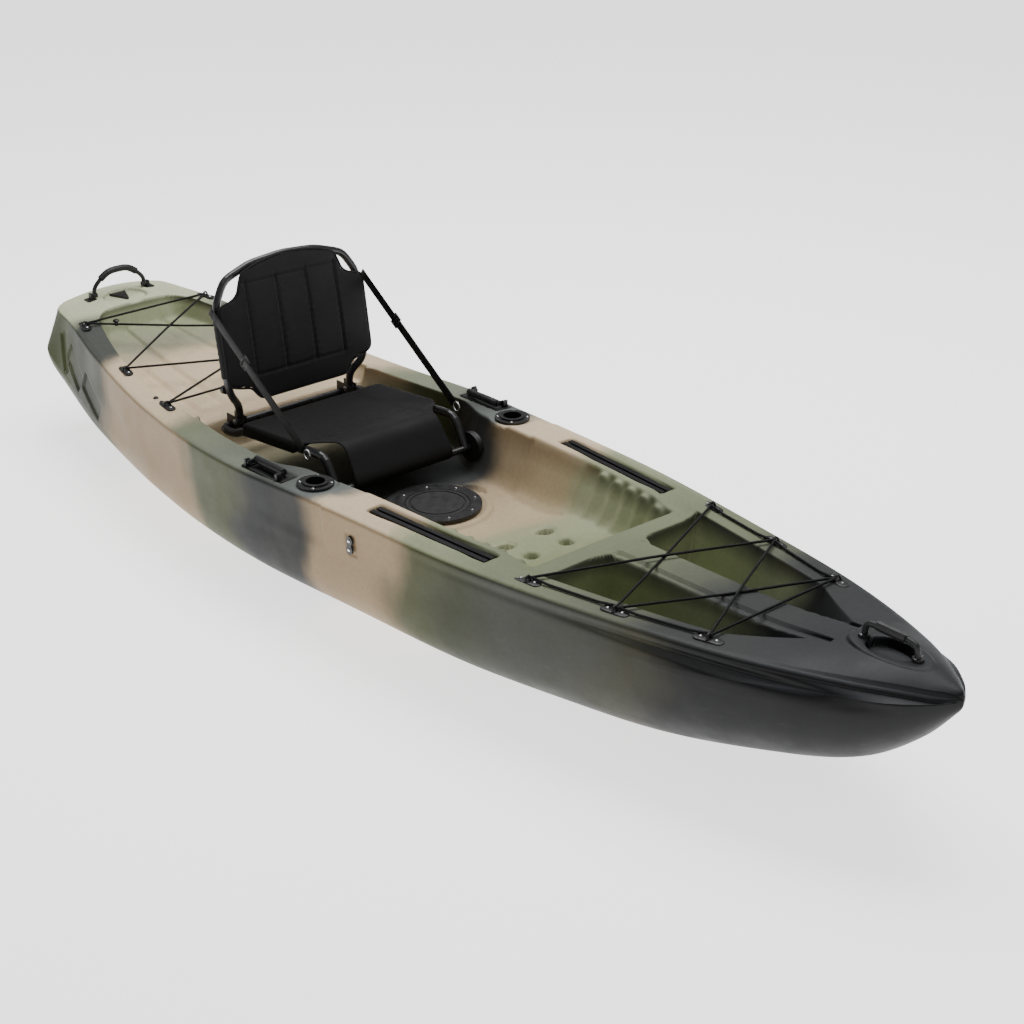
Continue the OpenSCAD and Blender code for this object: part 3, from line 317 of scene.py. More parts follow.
def stations():
    """Places along the hull, closer together where the deck has detail."""
    x, out = -HALF_LENGTH, [-HALF_LENGTH]
    while x < HALF_LENGTH:
        end = min(x + HALF_LENGTH, HALF_LENGTH - x)
        step = 0.0010 + 0.30 * end if end < 0.012 else (0.0038 if -0.74 < x < 1.42 else 0.0055)
        x = min(HALF_LENGTH, x + step)
        out.append(x)
    return np.array(out)


def mesh_object(name, verts, faces, smooth_shade=True):
    mesh = bpy.data.meshes.new(name)
    mesh.from_pydata([tuple(map(float, v)) for v in verts], [], faces)
    mesh.validate()
    mesh.update()
    if smooth_shade:
        mesh.polygons.foreach_set("use_smooth", [True] * len(mesh.polygons))
    obj = bpy.data.objects.new(name, mesh)
    bpy.context.scene.collection.objects.link(obj)
    return obj


def grid_faces(rows, cols, wrap=False, flip=False):
    """Quads of a grid of points, row by row."""
    i, j = np.meshgrid(np.arange(rows - 1), np.arange(cols if wrap else cols - 1), indexing="ij")
    k = (j + 1) % cols
    q = np.stack([i * cols + j, i * cols + k, (i + 1) * cols + k, (i + 1) * cols + j], -1).reshape(-1, 4)
    return (q[:, ::-1] if flip else q).tolist()


def bezier(a, b, c, d, t):
    return (1 - t) ** 3 * a + 3 * (1 - t) ** 2 * t * b + 3 * (1 - t) * t * t * c + t**3 * d


def hull_section(x, bottom=22, side=34, edge=7):
    """Half section of every station, from the keel to the inner end of the rounded gunwale."""
    gb, gz, kz = half_b(x), sheer(x), keel_z(x)
    cz = HULL_DEPTH * curve(CHINE_LINE, x) / 100
    cb = np.minimum(gb + HALF_BEAM * curve(FLARE_LINE, x) / 100, HALF_BEAM)
    cb = np.maximum(cb, 0.003)
    full = curve(BILGE_LINE, x) / 100
    r = np.minimum(0.012, 0.3 * gb)
    ys, zs = [], []
    for i in range(bottom):
        t = 1 - (1 - i / (bottom - 1)) ** 1.25
        ys.append(bezier(0 * cb, cb * full * 0.85, cb * lerp(0.9, 0.99, full), cb, t))
        zs.append(bezier(kz, kz, kz + (cz - kz) * 0.12, cz, t))
    # a soft chine edge, then the side up to the gunwale
    for i in range(1, side + 1):
        t = i / side
        ys.append(cb + (gb - cb) * t)
        zs.append(cz + (gz - r - cz) * t)
    for i in range(1, edge + 1):
        a = i / edge * math.pi / 2
        ys.append(gb - r + r * math.cos(a))
        zs.append(gz - r + r * math.sin(a))
    return np.stack(ys, 1), np.stack(zs, 1), gb - r


def deck_lines(x, inner_edge):
    """Offsets of the deck points from the middle, gathered where walls stand."""
    top = np.where(x < SEAT_WELL_AFT, tank_top(x),
                   np.where(x < BULKHEAD, cockpit_top(x), half_b(x) - 0.074))
    top = np.convolve(np.pad(top, 9, mode="edge"), np.ones(19) / 19, "valid")
    top = np.clip(top, 0.45 * inner_edge, inner_edge * 0.90)
    foot = np.where(x < SEAT_WELL_AFT, top - 0.024, np.where(x < BULKHEAD, cockpit_foot(x), top - 0.026))
    foot = np.convolve(np.pad(foot, 9, mode="edge"), np.ones(19) / 19, "valid")
    foot = np.clip(foot, 0.30 * inner_edge, top - 0.004)
    a = np.minimum(0.014, 0.12 * inner_edge)
    b = np.minimum(SPINE_HALF, 0.22 * inner_edge)
    c = np.minimum(0.062, 0.27 * inner_edge)
    marks = [inner_edge, top + 0.004 * np.minimum(1, inner_edge / 0.1), foot, c, b, a, 0 * inner_edge]
    marks[1] = np.minimum(marks[1], inner_edge * 0.95)
    counts = [17, 22, 26, 8, 7, 4]
    rows = []
    for (p, q), n in zip(zip(marks[:-1], marks[1:]), counts):
        rows += [p + (q - p) * (i / n) for i in range(1, n + 1)]
    return np.stack(rows, 1)


def end_round(x, y, z, mid, radius=0.010):
    """Rounds the last edge of the hull at each end."""
    near = HALF_LENGTH - np.abs(x)
    inset = radius - np.sqrt(np.maximum(0, radius**2 - np.maximum(0, radius - near) ** 2))
    wide, tall = np.abs(y).max(1), (z.max(1) - z.min(1)) / 2
    y = y * (1 - np.minimum(0.6, inset / np.maximum(wide, 1e-4)))[:, None]
    z = mid[:, None] + (z - mid[:, None]) * (1 - np.minimum(0.6, inset / np.maximum(tall, 1e-4)))[:, None]
    return y, z


def build_hull():
    x = stations()
    ys, zs, inner_edge = hull_section(x)
    dy = deck_lines(x, inner_edge)
    dz, depth = deck_height(np.repeat(x[:, None], dy.shape[1], 1), dy)
    dz_port, _ = deck_height(np.repeat(x[:, None], dy.shape[1], 1), -dy)
    # sides: shallow moulded panels and the raised band under the gunwale
    y_half = np.concatenate([ys, dy], 1)
    z_half = np.concatenate([zs, dz], 1)
    depth_half = np.concatenate([np.zeros_like(ys), depth], 1)
    n_side = ys.shape[1]
    y_port = np.concatenate([ys, dy], 1)
    z_port = np.concatenate([zs, dz_port], 1)
    xx = np.repeat(x[:, None], n_side, 1)
    inset = side_relief(xx, zs)
    y_half[:, :n_side] -= inset
    y_port[:, :n_side] -= inset
    # starboard half from keel to middle of the deck, then port half back down
    loop_y = np.concatenate([-y_half, y_port[:, ::-1][:, 1:-1]], 1)
    loop_z = np.concatenate([z_half, z_port[:, ::-1][:, 1:-1]], 1)
    loop_d = np.concatenate([depth_half, depth_half[:, ::-1][:, 1:-1]], 1)
    mid = (keel_z(x) + sheer(x)) / 2
    loop_y, loop_z = end_round(x, loop_y, loop_z, mid)
    rows, cols = loop_y.shape
    verts = np.stack([np.repeat(x[:, None], cols, 1), loop_y, loop_z], -1).reshape(-1, 3)
    faces = grid_faces(rows, cols, wrap=True, flip=True)
    n = len(verts)
    ends = []
    for row, back in ((0, False), (rows - 1, True)):
        c = verts[row * cols:(row + 1) * cols].mean(0)
        ends.append(c)
        hub = n + len(ends) - 1
        for j in range(cols):
            a, b = row * cols + j, row * cols + (j + 1) % cols
            faces.append((hub, a, b) if not back else (hub, b, a))
    verts = np.concatenate([verts, np.array(ends)])
    hull = mesh_object("hull_body", verts, faces)
    depth_at = np.concatenate([loop_d.reshape(-1), [0, 0]])
    hull.data.attributes.new("well_depth", "FLOAT", "POINT").data.foreach_set("value",
        depth_at.astype(np.float32))
    return hull


def side_relief(x, z):
    """Inward set of the side: pad seats, quarter panels and the chine shadow line."""
    out = np.zeros_like(x)
    out += 0.0035 * panel_mask(x, z, KEEPER.x, KEEPER.z, 0, 0.014, 0.026, 0.006)
    # panels pressed into each stern quarter
    for px, pz, lean, half_long, half_wide in QUARTER_PANELS:
        out += 0.0050 * panel_mask(x, z, px, pz, lean, half_long, half_wide, 0.005)
    # step in the side amidships
    out += 0.0035 * smooth(0.012, 0.004, x) * smooth(-0.30, -0.12, x) * smooth(0.20, 0.235, z)
    # hollow under the gunwale that deepens towards the bow
    low = sheer(x) - 0.030 - z
    out += (0.003 + 0.009 * smooth(0.55, 1.10, x)) * np.exp(-(low / 0.010) ** 2) * smooth(0.2, 0.6,
        x) * smooth(1.46, 1.36, x)
    return out


# ---------------------------------------------------------------- node materials
class Nodes:
    """Short way to lay out a node tree."""

    def __init__(self, name):
        self.mat = bpy.data.materials.new(name)
        self.mat.use_nodes = True
        self.tree = self.mat.node_tree
        self.shader = next(n for n in self.tree.nodes if n.type == "BSDF_PRINCIPLED")
        self.coords = self.add("ShaderNodeTexCoord").outputs["Object"]

    def add(self, kind, **props):
        node = self.tree.nodes.new(kind)
        for key, value in props.items():
            setattr(node, key, value)
        return node

    def link(self, a, b):
        self.tree.links.new(a, b)

    def put(self, socket, value):
        if hasattr(value, "is_linked"):
            self.link(value, socket)
        else:
            socket.default_value = value

    def noise(self, scale, detail=2.0, rough=0.5, vector=None, stretch=None):
        vector = vector or self.coords
        if stretch:
            mapping = self.add("ShaderNodeMapping")
            mapping.inputs["Scale"].default_value = stretch
            self.link(vector, mapping.inputs["Vector"])
            vector = mapping.outputs["Vector"]
        node = self.add("ShaderNodeTexNoise")
        self.link(vector, node.inputs["Vector"])
        node.inputs["Scale"].default_value = scale
        node.inputs["Detail"].default_value = detail
        node.inputs["Roughness"].default_value = rough
        return node.outputs["Fac"]

    def math(self, op, a, b=0.0, clamp=False):
        node = self.add("ShaderNodeMath", operation=op, use_clamp=clamp)
        self.put(node.inputs[0], a)
        self.put(node.inputs[1], b)
        return node.outputs[0]

    def remap(self, value, low, high, to_low=0.0, to_high=1.0):
        node = self.add("ShaderNodeMapRange", clamp=True)
        for name, v in (("Value", value), ("From Min", low), ("From Max", high), ("To Min", to_low),
                        ("To Max", to_high)):
            self.put(node.inputs[name], v)
        return node.outputs[0]

    def ramp(self, value, stops, interpolation="EASE"):
        node = self.add("ShaderNodeValToRGB")
        node.color_ramp.interpolation = interpolation
        elements = node.color_ramp.elements
        for i, (at, colour) in enumerate(stops):
            e = elements[i] if i < 2 else elements.new(at)
            e.position = at
            e.color = (*colour, 1)
        self.put(node.inputs["Fac"], value)
        return node.outputs["Color"]

    def mix(self, factor, a, b, blend="MIX"):
        node = self.add("ShaderNodeMix", data_type="RGBA", blend_type=blend)
        self.put(node.inputs["Factor"], factor)
        sockets = [s for s in node.inputs if s.type == "RGBA"]
        for s, v in zip(sockets, (a, b)):
            self.put(s, (*v, 1) if isinstance(v, tuple) and len(v) == 3 else v)
        return next(s for s in node.outputs if s.type == "RGBA")

    def axis(self, which, vector=None):
        node = self.add("ShaderNodeSeparateXYZ")
        self.link(vector or self.coords, node.inputs[0])
        return node.outputs[which]

    def bump(self, height, strength, distance, normal=None):
        node = self.add("ShaderNodeBump")
        node.inputs["Strength"].default_value = strength
        node.inputs["Distance"].default_value = distance
        self.link(height, node.inputs["Height"])
        if normal:
            self.link(normal, node.inputs["Normal"])
        return node.outputs["Normal"]

    def finish(self, colour=None, rough=None, normal=None, **fixed):
        s = self.shader.inputs
        if colour is not None:
            self.put(s["Base Color"], colour if hasattr(colour, "is_linked") else (*colour, 1))
        if rough is not None:
            self.put(s["Roughness"], rough)
        if normal is not None:
            self.link(normal, s["Normal"])
        for name, value in fixed.items():
            s[name.replace("_", " ")].default_value = value
        return self.mat


# The tan and green set darker for the sides are painted shade (TAN_PAINTED_SHADE, GREEN_PAINTED_SHADE); the
# paler copies for faces turned up are painted highlight (TAN_PAINTED_LIT, GREEN_PAINTED_LIT).
TAN_PAINTED_SHADE, TAN_PAINTED_LIT = (0.245, 0.175, 0.100), (0.700, 0.560, 0.385)
GREEN_PAINTED_SHADE, GREEN_PAINTED_LIT, OLIVE = (0.052, 0.060, 0.026), (0.300, 0.330, 0.205), (0.048, 0.052, 0.020)
SLATE, CHARCOAL, COAL = (0.080, 0.086, 0.078), (0.0130, 0.0140, 0.0145), (0.0042, 0.0043, 0.0048)


def hull_plastic():
    """Moulded-in camouflage: blocks of colour along the hull with soft, cloudy edges, with painted light in it:
    paler lit copies of the colours on faces turned up and darker shaded copies on the sides.
    """
    n = Nodes("camo_polyethylene_painted_light")
    tan, green = tuple(settings().tan), tuple(settings().green)
    x = n.axis(0)
    warp = n.noise(1.7, 2.0, 0.5, stretch=(1.0, 1.0, 1.6))
    wisps = n.noise(7.0, 3.0, 0.55, stretch=(1.0, 1.0, 0.35))
    drift = n.math("ADD", n.math("MULTIPLY", n.math("SUBTRACT", warp, 0.5), 0.42),
                   n.math("MULTIPLY", n.math("SUBTRACT", wisps, 0.5), 0.13))
    along = n.math("ADD", n.math("ADD", x, drift), HALF_LENGTH)
    share = n.math("DIVIDE", along, 2 * HALF_LENGTH)

    def at(metres):
        return (metres + HALF_LENGTH) / (2 * HALF_LENGTH)

    # colours for faces turned sideways, darkened as painted shade
    side = n.ramp(share, [
        (at(-1.50), green), (at(-1.36), green), (at(-1.24), (0.030, 0.032, 0.022)),
        (at(-1.12), (0.040, 0.042, 0.028)),
        (at(-1.00), tan), (at(-0.62), tan), (at(-0.52), green), (at(-0.40), OLIVE), (at(-0.31), CHARCOAL),
        (at(-0.13), (0.018, 0.019, 0.017)), (at(-0.03), tan), (at(0.22), tan), (at(0.34), OLIVE),
        (at(0.50), (0.030, 0.033, 0.018)),
        (at(0.62), (0.036, 0.038, 0.030)), (at(0.80), (0.034, 0.035, 0.028)),
        (at(0.93), (0.030, 0.029, 0.017)), (at(1.06), COAL), (at(1.40), COAL)])
    # paler copies of the colours for faces turned up: painted highlight
    rim = n.ramp(share, [
        (at(-1.50), (0.62, 0.66, 0.46)), (at(-1.36), (0.58, 0.62, 0.42)), (at(-1.23), SLATE),
        (at(-1.10), SLATE), (at(-1.02), TAN_PAINTED_LIT),
        (at(-0.72), TAN_PAINTED_LIT), (at(-0.60), (0.215, 0.235, 0.160)), (at(-0.40), (0.190, 0.205, 0.165)),
        (at(-0.27), SLATE),
        (at(-0.08), (0.150, 0.165, 0.160)), (at(-0.02), TAN_PAINTED_LIT), (at(0.19), TAN_PAINTED_LIT),
        (at(0.29), GREEN_PAINTED_LIT),
        (at(0.60), (0.190, 0.215, 0.135)), (at(0.82), (0.120, 0.130, 0.095)),
        (at(0.98), (0.050, 0.053, 0.052)), (at(1.30), (0.036, 0.039, 0.043))])
    # colours for the wells' walls and floors; where they take the pale lit copies, such as TAN_PAINTED_LIT,
    # they carry painted highlight too
    floor = n.ramp(share, [
        (at(-1.50), (0.62, 0.66, 0.46)), (at(-1.34), (0.34, 0.37, 0.23)),
        (at(-1.20), (0.300, 0.300, 0.215)), (at(-1.06), TAN_PAINTED_LIT), (at(-0.72), TAN_PAINTED_LIT),
        (at(-0.60), (0.230, 0.215, 0.140)), (at(-0.40), OLIVE), (at(-0.26), CHARCOAL),
        (at(-0.09), (0.040, 0.042, 0.042)),
        (at(0.02), (0.40, 0.31, 0.20)), (at(0.17), (0.480, 0.390, 0.250)), (at(0.30), (0.34, 0.36, 0.23)),
        (at(0.46), (0.25, 0.275, 0.155)), (at(0.62), (0.175, 0.200, 0.100)),
        (at(0.95), (0.150, 0.168, 0.100)), (at(1.12), CHARCOAL)])
    depth = n.add("ShaderNodeAttribute", attribute_name="well_depth").outputs["Fac"]
    # faces turned up take the lit copies and faces turned sideways the shaded ones: painted highlight and
    # painted shade set by which way a face points
    facing_up_for_painted_light = n.add("ShaderNodeNewGeometry").outputs["Normal"]
    up = n.remap(n.axis(2, facing_up_for_painted_light), 0.45, 0.85)
    colour = n.mix(up, side, rim)
    colour = n.mix(n.remap(depth, 0.05, 0.45), colour, floor)
    # pale blooms and a fine pale speckle, spread at random over the hull
    speckle = n.noise(95.0, 3.0, 0.6)
    colour = n.mix(n.math("MULTIPLY", n.remap(n.noise(3.2, 4.0, 0.6), 0.42, 0.70), 0.22), colour,
                   n.mix(1.0, colour, (1.35, 1.35, 1.30), "MULTIPLY"))
    colour = n.mix(n.math("MULTIPLY", n.remap(speckle, 0.35, 0.75), 0.35), colour,
                   n.mix(1.0, colour, (1.40, 1.38, 1.30), "MULTIPLY"))
    scuffs = n.remap(n.noise(26.0, 4.0, 0.7, stretch=(0.12, 1.0, 2.2)), 0.62, 0.78)
    colour = n.mix(n.math("MULTIPLY", scuffs, 0.03), colour, (0.30, 0.30, 0.28))
    skin = n.noise(420.0, 3.0, 0.6)
    waves = n.noise(5.5, 2.0, 0.4)
    rough = n.remap(n.noise(14.0, 4.0, 0.6), 0.3, 0.7, 0.42, 0.54)
    normal = n.bump(skin, 0.10, 0.0006, n.bump(waves, 0.22, 0.004))
    return n.finish(colour, rough, normal, Specular_IOR_Level=0.30, IOR=1.34)


def moulded_black(name="moulded_black", shade=0.0085, grain=520.0, rough=(0.34, 0.50), depth=0.16):
    """Black injection moulding with a fine spark-eroded grain."""
    n = Nodes(name)
    tone = n.remap(n.noise(30.0, 4.0, 0.6), 0.3, 0.7)
    colour = n.mix(tone, (shade * 0.75, shade * 0.75, shade * 0.8),
                   (shade * 1.35, shade * 1.35, shade * 1.45))
    return n.finish(colour, n.remap(n.noise(60.0, 3.0, 0.6), 0.3, 0.7, *rough),
                    n.bump(n.noise(grain, 3.0, 0.6), depth, 0.0004), Specular_IOR_Level=0.5)


def soft_rubber():
    """Soft black grip rubber, matt with a dusty bloom."""
    n = Nodes("grip_rubber")
    dust = n.remap(n.noise(70.0, 4.0, 0.65), 0.45, 0.8)
    colour = n.mix(n.math("MULTIPLY", dust, 0.4), (0.007, 0.007, 0.0075), (0.022, 0.022, 0.023))
    return n.finish(colour, n.remap(dust, 0, 1, 0.50, 0.66), n.bump(n.noise(900.0, 2.0, 0.5), 0.2, 0.0003))


def coated_tube():
    """Black powder coat with a slight orange peel."""
    n = Nodes("powder_coat")
    colour = n.mix(n.remap(n.noise(45.0, 3.0, 0.5), 0.35, 0.7), (0.009, 0.009, 0.010),
                   (0.018, 0.018, 0.020))
    peel = n.noise(700.0, 2.0, 0.5)
    return n.finish(colour, n.remap(n.noise(80.0, 3.0, 0.5), 0.3, 0.7, 0.26, 0.38),
                    n.bump(peel, 0.14, 0.0004),
                    Coat_Weight=0.15, Coat_Roughness=0.3)


def anodised():
    """Black anodised extrusion with die lines along it."""
    n = Nodes("anodised_track")
    lines = n.noise(420.0, 2.0, 0.5, stretch=(0.03, 1.0, 1.0))
    colour = n.mix(n.remap(lines, 0.3, 0.7), (0.010, 0.010, 0.011), (0.030, 0.030, 0.033))
    return n.finish(colour, n.remap(lines, 0.3, 0.7, 0.28, 0.42), n.bump(lines, 0.15, 0.0003), Metallic=0.6)


def bright_steel():
    """Polished stainless heads with faint turning marks."""
    n = Nodes("stainless")
    marks = n.noise(900.0, 2.0, 0.6, stretch=(1.0, 0.2, 1.0))
    colour = n.mix(n.remap(marks, 0.3, 0.7), (0.55, 0.55, 0.56), (0.78, 0.78, 0.79))
    return n.finish(colour, n.remap(marks, 0.3, 0.7, 0.16, 0.32), n.bump(marks, 0.06, 0.0002), Metallic=1.0)


def woven(name, shade, pitch, axes, rough=(0.58, 0.74), depth=0.5):
    """Coated plain weave: two crossing sets of threads along the given axes."""
    n = Nodes(name)
    scale = 2 * math.pi / pitch
    warp = n.math("SINE", n.math("MULTIPLY", n.axis(axes[0]), scale))
    weft = n.math("SINE", n.math("MULTIPLY", n.axis(axes[1]), scale))
    cloth = n.math("MULTIPLY", warp, weft)
    fuzz = n.noise(380.0, 3.0, 0.6)
    wash = n.remap(n.noise(9.0, 4.0, 0.6), 0.3, 0.75)
    low = (shade * 0.60, shade * 0.60, shade * 0.64)
    high = (shade * 1.30, shade * 1.30, shade * 1.38)
    colour = n.mix(n.remap(cloth, -1, 1), low, high)
    colour = n.mix(n.math("MULTIPLY", wash, 0.35), colour, (shade * 1.7, shade * 1.7, shade * 1.8))
    height = n.math("ADD", n.math("MULTIPLY", cloth, 0.5), n.math("MULTIPLY", fuzz, 0.8))
    return n.finish(colour, n.remap(wash, 0, 1, *rough), n.bump(height, depth, pitch * 0.22),
                    Specular_IOR_Level=0.22)


def closed_foam():
    n = Nodes("closed_foam")
    cells = n.noise(300.0, 3.0, 0.6)
    return n.finish(n.mix(n.remap(cells, 0.3, 0.7), (0.62, 0.62, 0.60), (0.80, 0.80, 0.78)), 0.8,
                    n.bump(cells, 0.5, 0.001))


MATERIALS = {}


def finish_for(slot):
    """One material for each of the record's slots, made the first time it is asked for."""
    makers = {
        "camo_hull": hull_plastic,
        "black_plastic": moulded_black,
        "black_lid": lambda: moulded_black("lid_black", 0.011, 260.0, (0.40, 0.55), 0.35),
        "black_rubber": soft_rubber,
        "seat_fabric": lambda: woven("seat_weave", 0.0065, 0.0017, (1, 0)),
        "back_fabric": lambda: woven("back_weave", 0.0085, 0.0017, (1, 2)),
        "webbing": lambda: woven("strap_weave", 0.0070, 0.0022, (2, 1), (0.5, 0.66), 0.8),
        "cord": lambda: woven("braid", 0.008, 0.0020, (0, 1), (0.45, 0.62), 0.7),
        "thread": lambda: woven("thread", 0.030, 0.0009, (0, 2), (0.5, 0.6), 0.4),
        "coated_tube": coated_tube,
        "track_metal": anodised,
        "steel": bright_steel,
        "foam": closed_foam,
    }
    if slot not in MATERIALS:
        MATERIALS[slot] = makers[slot]()
    return MATERIALS[slot]


def dress(obj, slot, body="root", replaces=(), material=None):
    """Gives a piece its finish, its body and the CAD nodes it stands for."""
    obj.data.materials.clear()
    obj.data.materials.append(finish_for(material or slot))
    if body:
        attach(obj, body)
    if replaces:
        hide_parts(*replaces)
    return obj


def keep_node(node, slot, bevel=0.0006, segments=2):
    """A CAD node that stays, with its finish and softened edges."""
    obj = frame["nodes"][node]
    obj.data.materials.clear()
    obj.data.materials.append(finish_for(slot))
    if bevel:
        mod = obj.modifiers.new("edge", "BEVEL")
        mod.width, mod.segments, mod.limit_method, mod.angle_limit = bevel, segments, "ANGLE", math.radians(35)
        mod.use_clamp_overlap = True
        mod.harden_normals = False
    return obj


def settings():
    return bpy.context.scene.kayak


SHARP = {"hatch_ring_screws", "rod_holder_screws", "gear_track_screws", "bow_handle_screws",
         "pad_eye_rivets",
         "paddle_keeper_screws", "seat_base_frame", "seat_back_frame", "strap_hooks", "foam_pillar_bow",
         "foam_pillar_stern",
         "stern_handle", "side_handle_grip_port", "side_handle_grip_starboard"}


def keep_nodes(names):
    """Dresses CAD nodes that stay: each gets its slot's finish, and mouldings get softened edges."""
    slots = {part["node"]: part["material_slot"] for part in frame["record"]["subparts"]}
    for name in names:
        keep_node(name, slots[name], 0 if name in SHARP else settings().edge)


# ---------------------------------------------------------------- shared shapes
def placed(points, at=(0, 0, 0), turn=0.0):
    """Points turned about Z and moved."""
    c, s = math.cos(turn), math.sin(turn)
    return [(at[0] + c * x - s * y, at[1] + s * x + c * y, at[2] + z) for x, y, z in points]


def rounded(points, reach, steps=5):
    """A path with each corner cut back by up to reach and turned in steps."""
    pts = [np.array(p, float) for p in points]
    out = [pts[0]]
    for a, b, c in zip(pts[:-2], pts[1:-1], pts[2:]):
        back = min(reach, np.linalg.norm(a - b) * 0.48)
        on = min(reach, np.linalg.norm(c - b) * 0.48)
        p, q = b + (a - b) / np.linalg.norm(a - b) * back, b + (c - b) / np.linalg.norm(c - b) * on
        out += [(1 - t) ** 2 * p + 2 * t * (1 - t) * b + t * t * q for t in np.linspace(0, 1, steps + 1)]
    return out + [pts[-1]]


def sweep(name, path, radius, sides=14, wide=None, across=None):
    """A tube along a path; wide makes it a flat band that wide, lying across the given direction."""
    pts = np.array(path, float)
    ahead = np.gradient(pts, axis=0)
    ahead /= np.linalg.norm(ahead, axis=1)[:, None]
    side = np.array(across if across is not None else (0.0, 0.0, 1.0))
    if across is None and abs(ahead[0] @ side) > 0.9:
        side = np.array((0.0, 1.0, 0.0))
    verts = []
    for p, t in zip(pts, ahead):
        side = np.array(across, float) if across is not None else side
        side = side - t * (side @ t)
        side /= np.linalg.norm(side)
        other = np.cross(t, side)
        if wide:
            h, r = wide / 2, radius
            ring = [(-h, -r * 0.5), (-h + r, -r), (0, -r), (h - r, -r), (h, -r * 0.5), (h, r * 0.5),
                    (h - r, r), (0, r), (-h + r, r), (-h, r * 0.5)]
        else:
            ring = [(radius * math.cos(a), radius * math.sin(a))
                    for a in np.arange(sides) * 2 * math.pi / sides]
        verts += [p + side * u + other * v for u, v in ring]
    n = len(ring)
    faces = grid_faces(len(pts), n, wrap=True)
    faces += [tuple(reversed(range(n))), tuple(range(len(verts) - n, len(verts)))]
    return mesh_object(name, verts, faces)


def plate(name, outline, low, high, round_edge=0.001):
    """A flat plate from an outline of (x, y, z offset) points, with softened edges."""
    n = len(outline)
    verts = [(x, y, low + z) for x, y, z in outline] + [(x, y, high + z) for x, y, z in outline]
    faces = [tuple(reversed(range(n))),
             tuple(range(n, 2 * n))] + [(i, (i + 1) % n, n + (i + 1) % n, n + i) for i in range(n)]
    obj = mesh_object(name, verts, faces)
    soften(obj, round_edge)
    return obj


def soften(obj, width, segments=3, angle=35):
    mod = obj.modifiers.new("edge", "BEVEL")
    mod.width, mod.segments, mod.limit_method, mod.angle_limit = width, segments, "ANGLE", math.radians(angle)


def stadium(half_long, half_wide, steps=12):
    """A rounded-end plate outline, long way along X."""
    flat = half_long - half_wide
    ends = [(flat, -math.pi / 2), (-flat, math.pi / 2)]
    return [(cx + half_wide * math.cos(a0 + k * math.pi / steps),
             half_wide * math.sin(a0 + k * math.pi / steps), 0)
            for cx, a0 in ends for k in range(steps + 1)]


def join(name, objs):
    """One object from several."""
    verts, faces = [], []
    for obj in objs:
        base = len(verts)
        verts += [tuple(obj.matrix_world @ v.co) for v in obj.data.vertices]
        faces += [tuple(base + i for i in p.vertices) for p in obj.data.polygons]
        bpy.data.objects.remove(obj)
    return mesh_object(name, verts, faces)


def evaluated(obj):
    """Swaps an object's mesh for what its modifiers make of it."""
    mesh = bpy.data.meshes.new_from_object(obj.evaluated_get(bpy.context.evaluated_depsgraph_get()))
    obj.modifiers.clear()
    obj.data = mesh
    return obj


# ---------------------------------------------------------------- pad eyes and lacing
EYE_T = 0.004
CORD_R = 0.003
CORD_LIFT = EYE_T + CORD_R + 0.0026
EYES = {
    "front": [(0.407, 0.036), (0.553, 0.034), (0.693, 0.038)],
    "rear": [(-0.862, 0.030), (-0.660, 0.042), (-0.492, 0.052)],
}


def eye(group, i, side):
    share, inset = EYES[group][i]
    x = share * HALF_LENGTH
    y = float(half_b(x)) - inset
    return Vector((x, side * y, float(deck_z(x, y)) - 0.001))


def edge_turn(x, side):
    return side * math.atan2(float(half_b(x + 0.03) - half_b(x - 0.03)), 0.06)


def pad_eye(name, group, i, side):
    """Stadium base and an arched bridge for the cord."""
    at, turn = eye(group, i, side), edge_turn(EYES[group][i][0] * HALF_LENGTH, side)
    base = plate(name + "_base", placed(stadium(0.034, 0.0120), at, turn), 0.0, EYE_T, 0.0014)
    evaluated(base)
    arch = [(0, 0.0085 * math.cos(a), EYE_T - 0.001 + 0.0115 * math.sin(a))
            for a in np.linspace(0, math.pi, 15)]
    bridge = sweep(name + "_bridge", placed(arch, at, turn), 0.0026, 12)
    return [base, bridge]


def lacing(group, order, lifts):
    """The crossed shock cord from eye to eye, lifted where one leg passes over another."""
    lift = Vector((0, 0, CORD_LIFT))
    at = [eye(group, i, side) + lift for i, side in order]
    route = []
    for k, (a, b) in enumerate(zip(at[:-1], at[1:])):
        route += [a, (a + b) / 2 + Vector((0, 0, lifts[k] * (CORD_R + 0.0005)))]
    return route + [at[-1]]


def gunwale_run(i, side):
    """A straight leg along the rim from one front eye to the next."""
    a, b = eye("front", i, side), eye("front", i + 1, side)
    out = []
    for t in np.linspace(0, 1, 6):
        x, y = a.x + 0.008 + (b.x - a.x - 0.016) * t, a.y + (b.y - a.y) * t - side * 0.008
        out.append(Vector((x, y, float(deck_z(x, y)) + CORD_R + 0.0015 + (EYE_T if t in (0, 1) else 0))))
    return out


def lace(name, points, node, reach=0.006):
    path = rounded(points, reach)
    dense = []
    for a, b in zip(path[:-1], path[1:]):
        n = max(1, int(np.linalg.norm(b - a) / 0.02))
        dense += [a + (b - a) * k / n for k in range(n)]
    dense.append(path[-1])
    obj = sweep(name, dense, CORD_R, 10)
    dress(obj, "cord", "root", [node])
    return obj


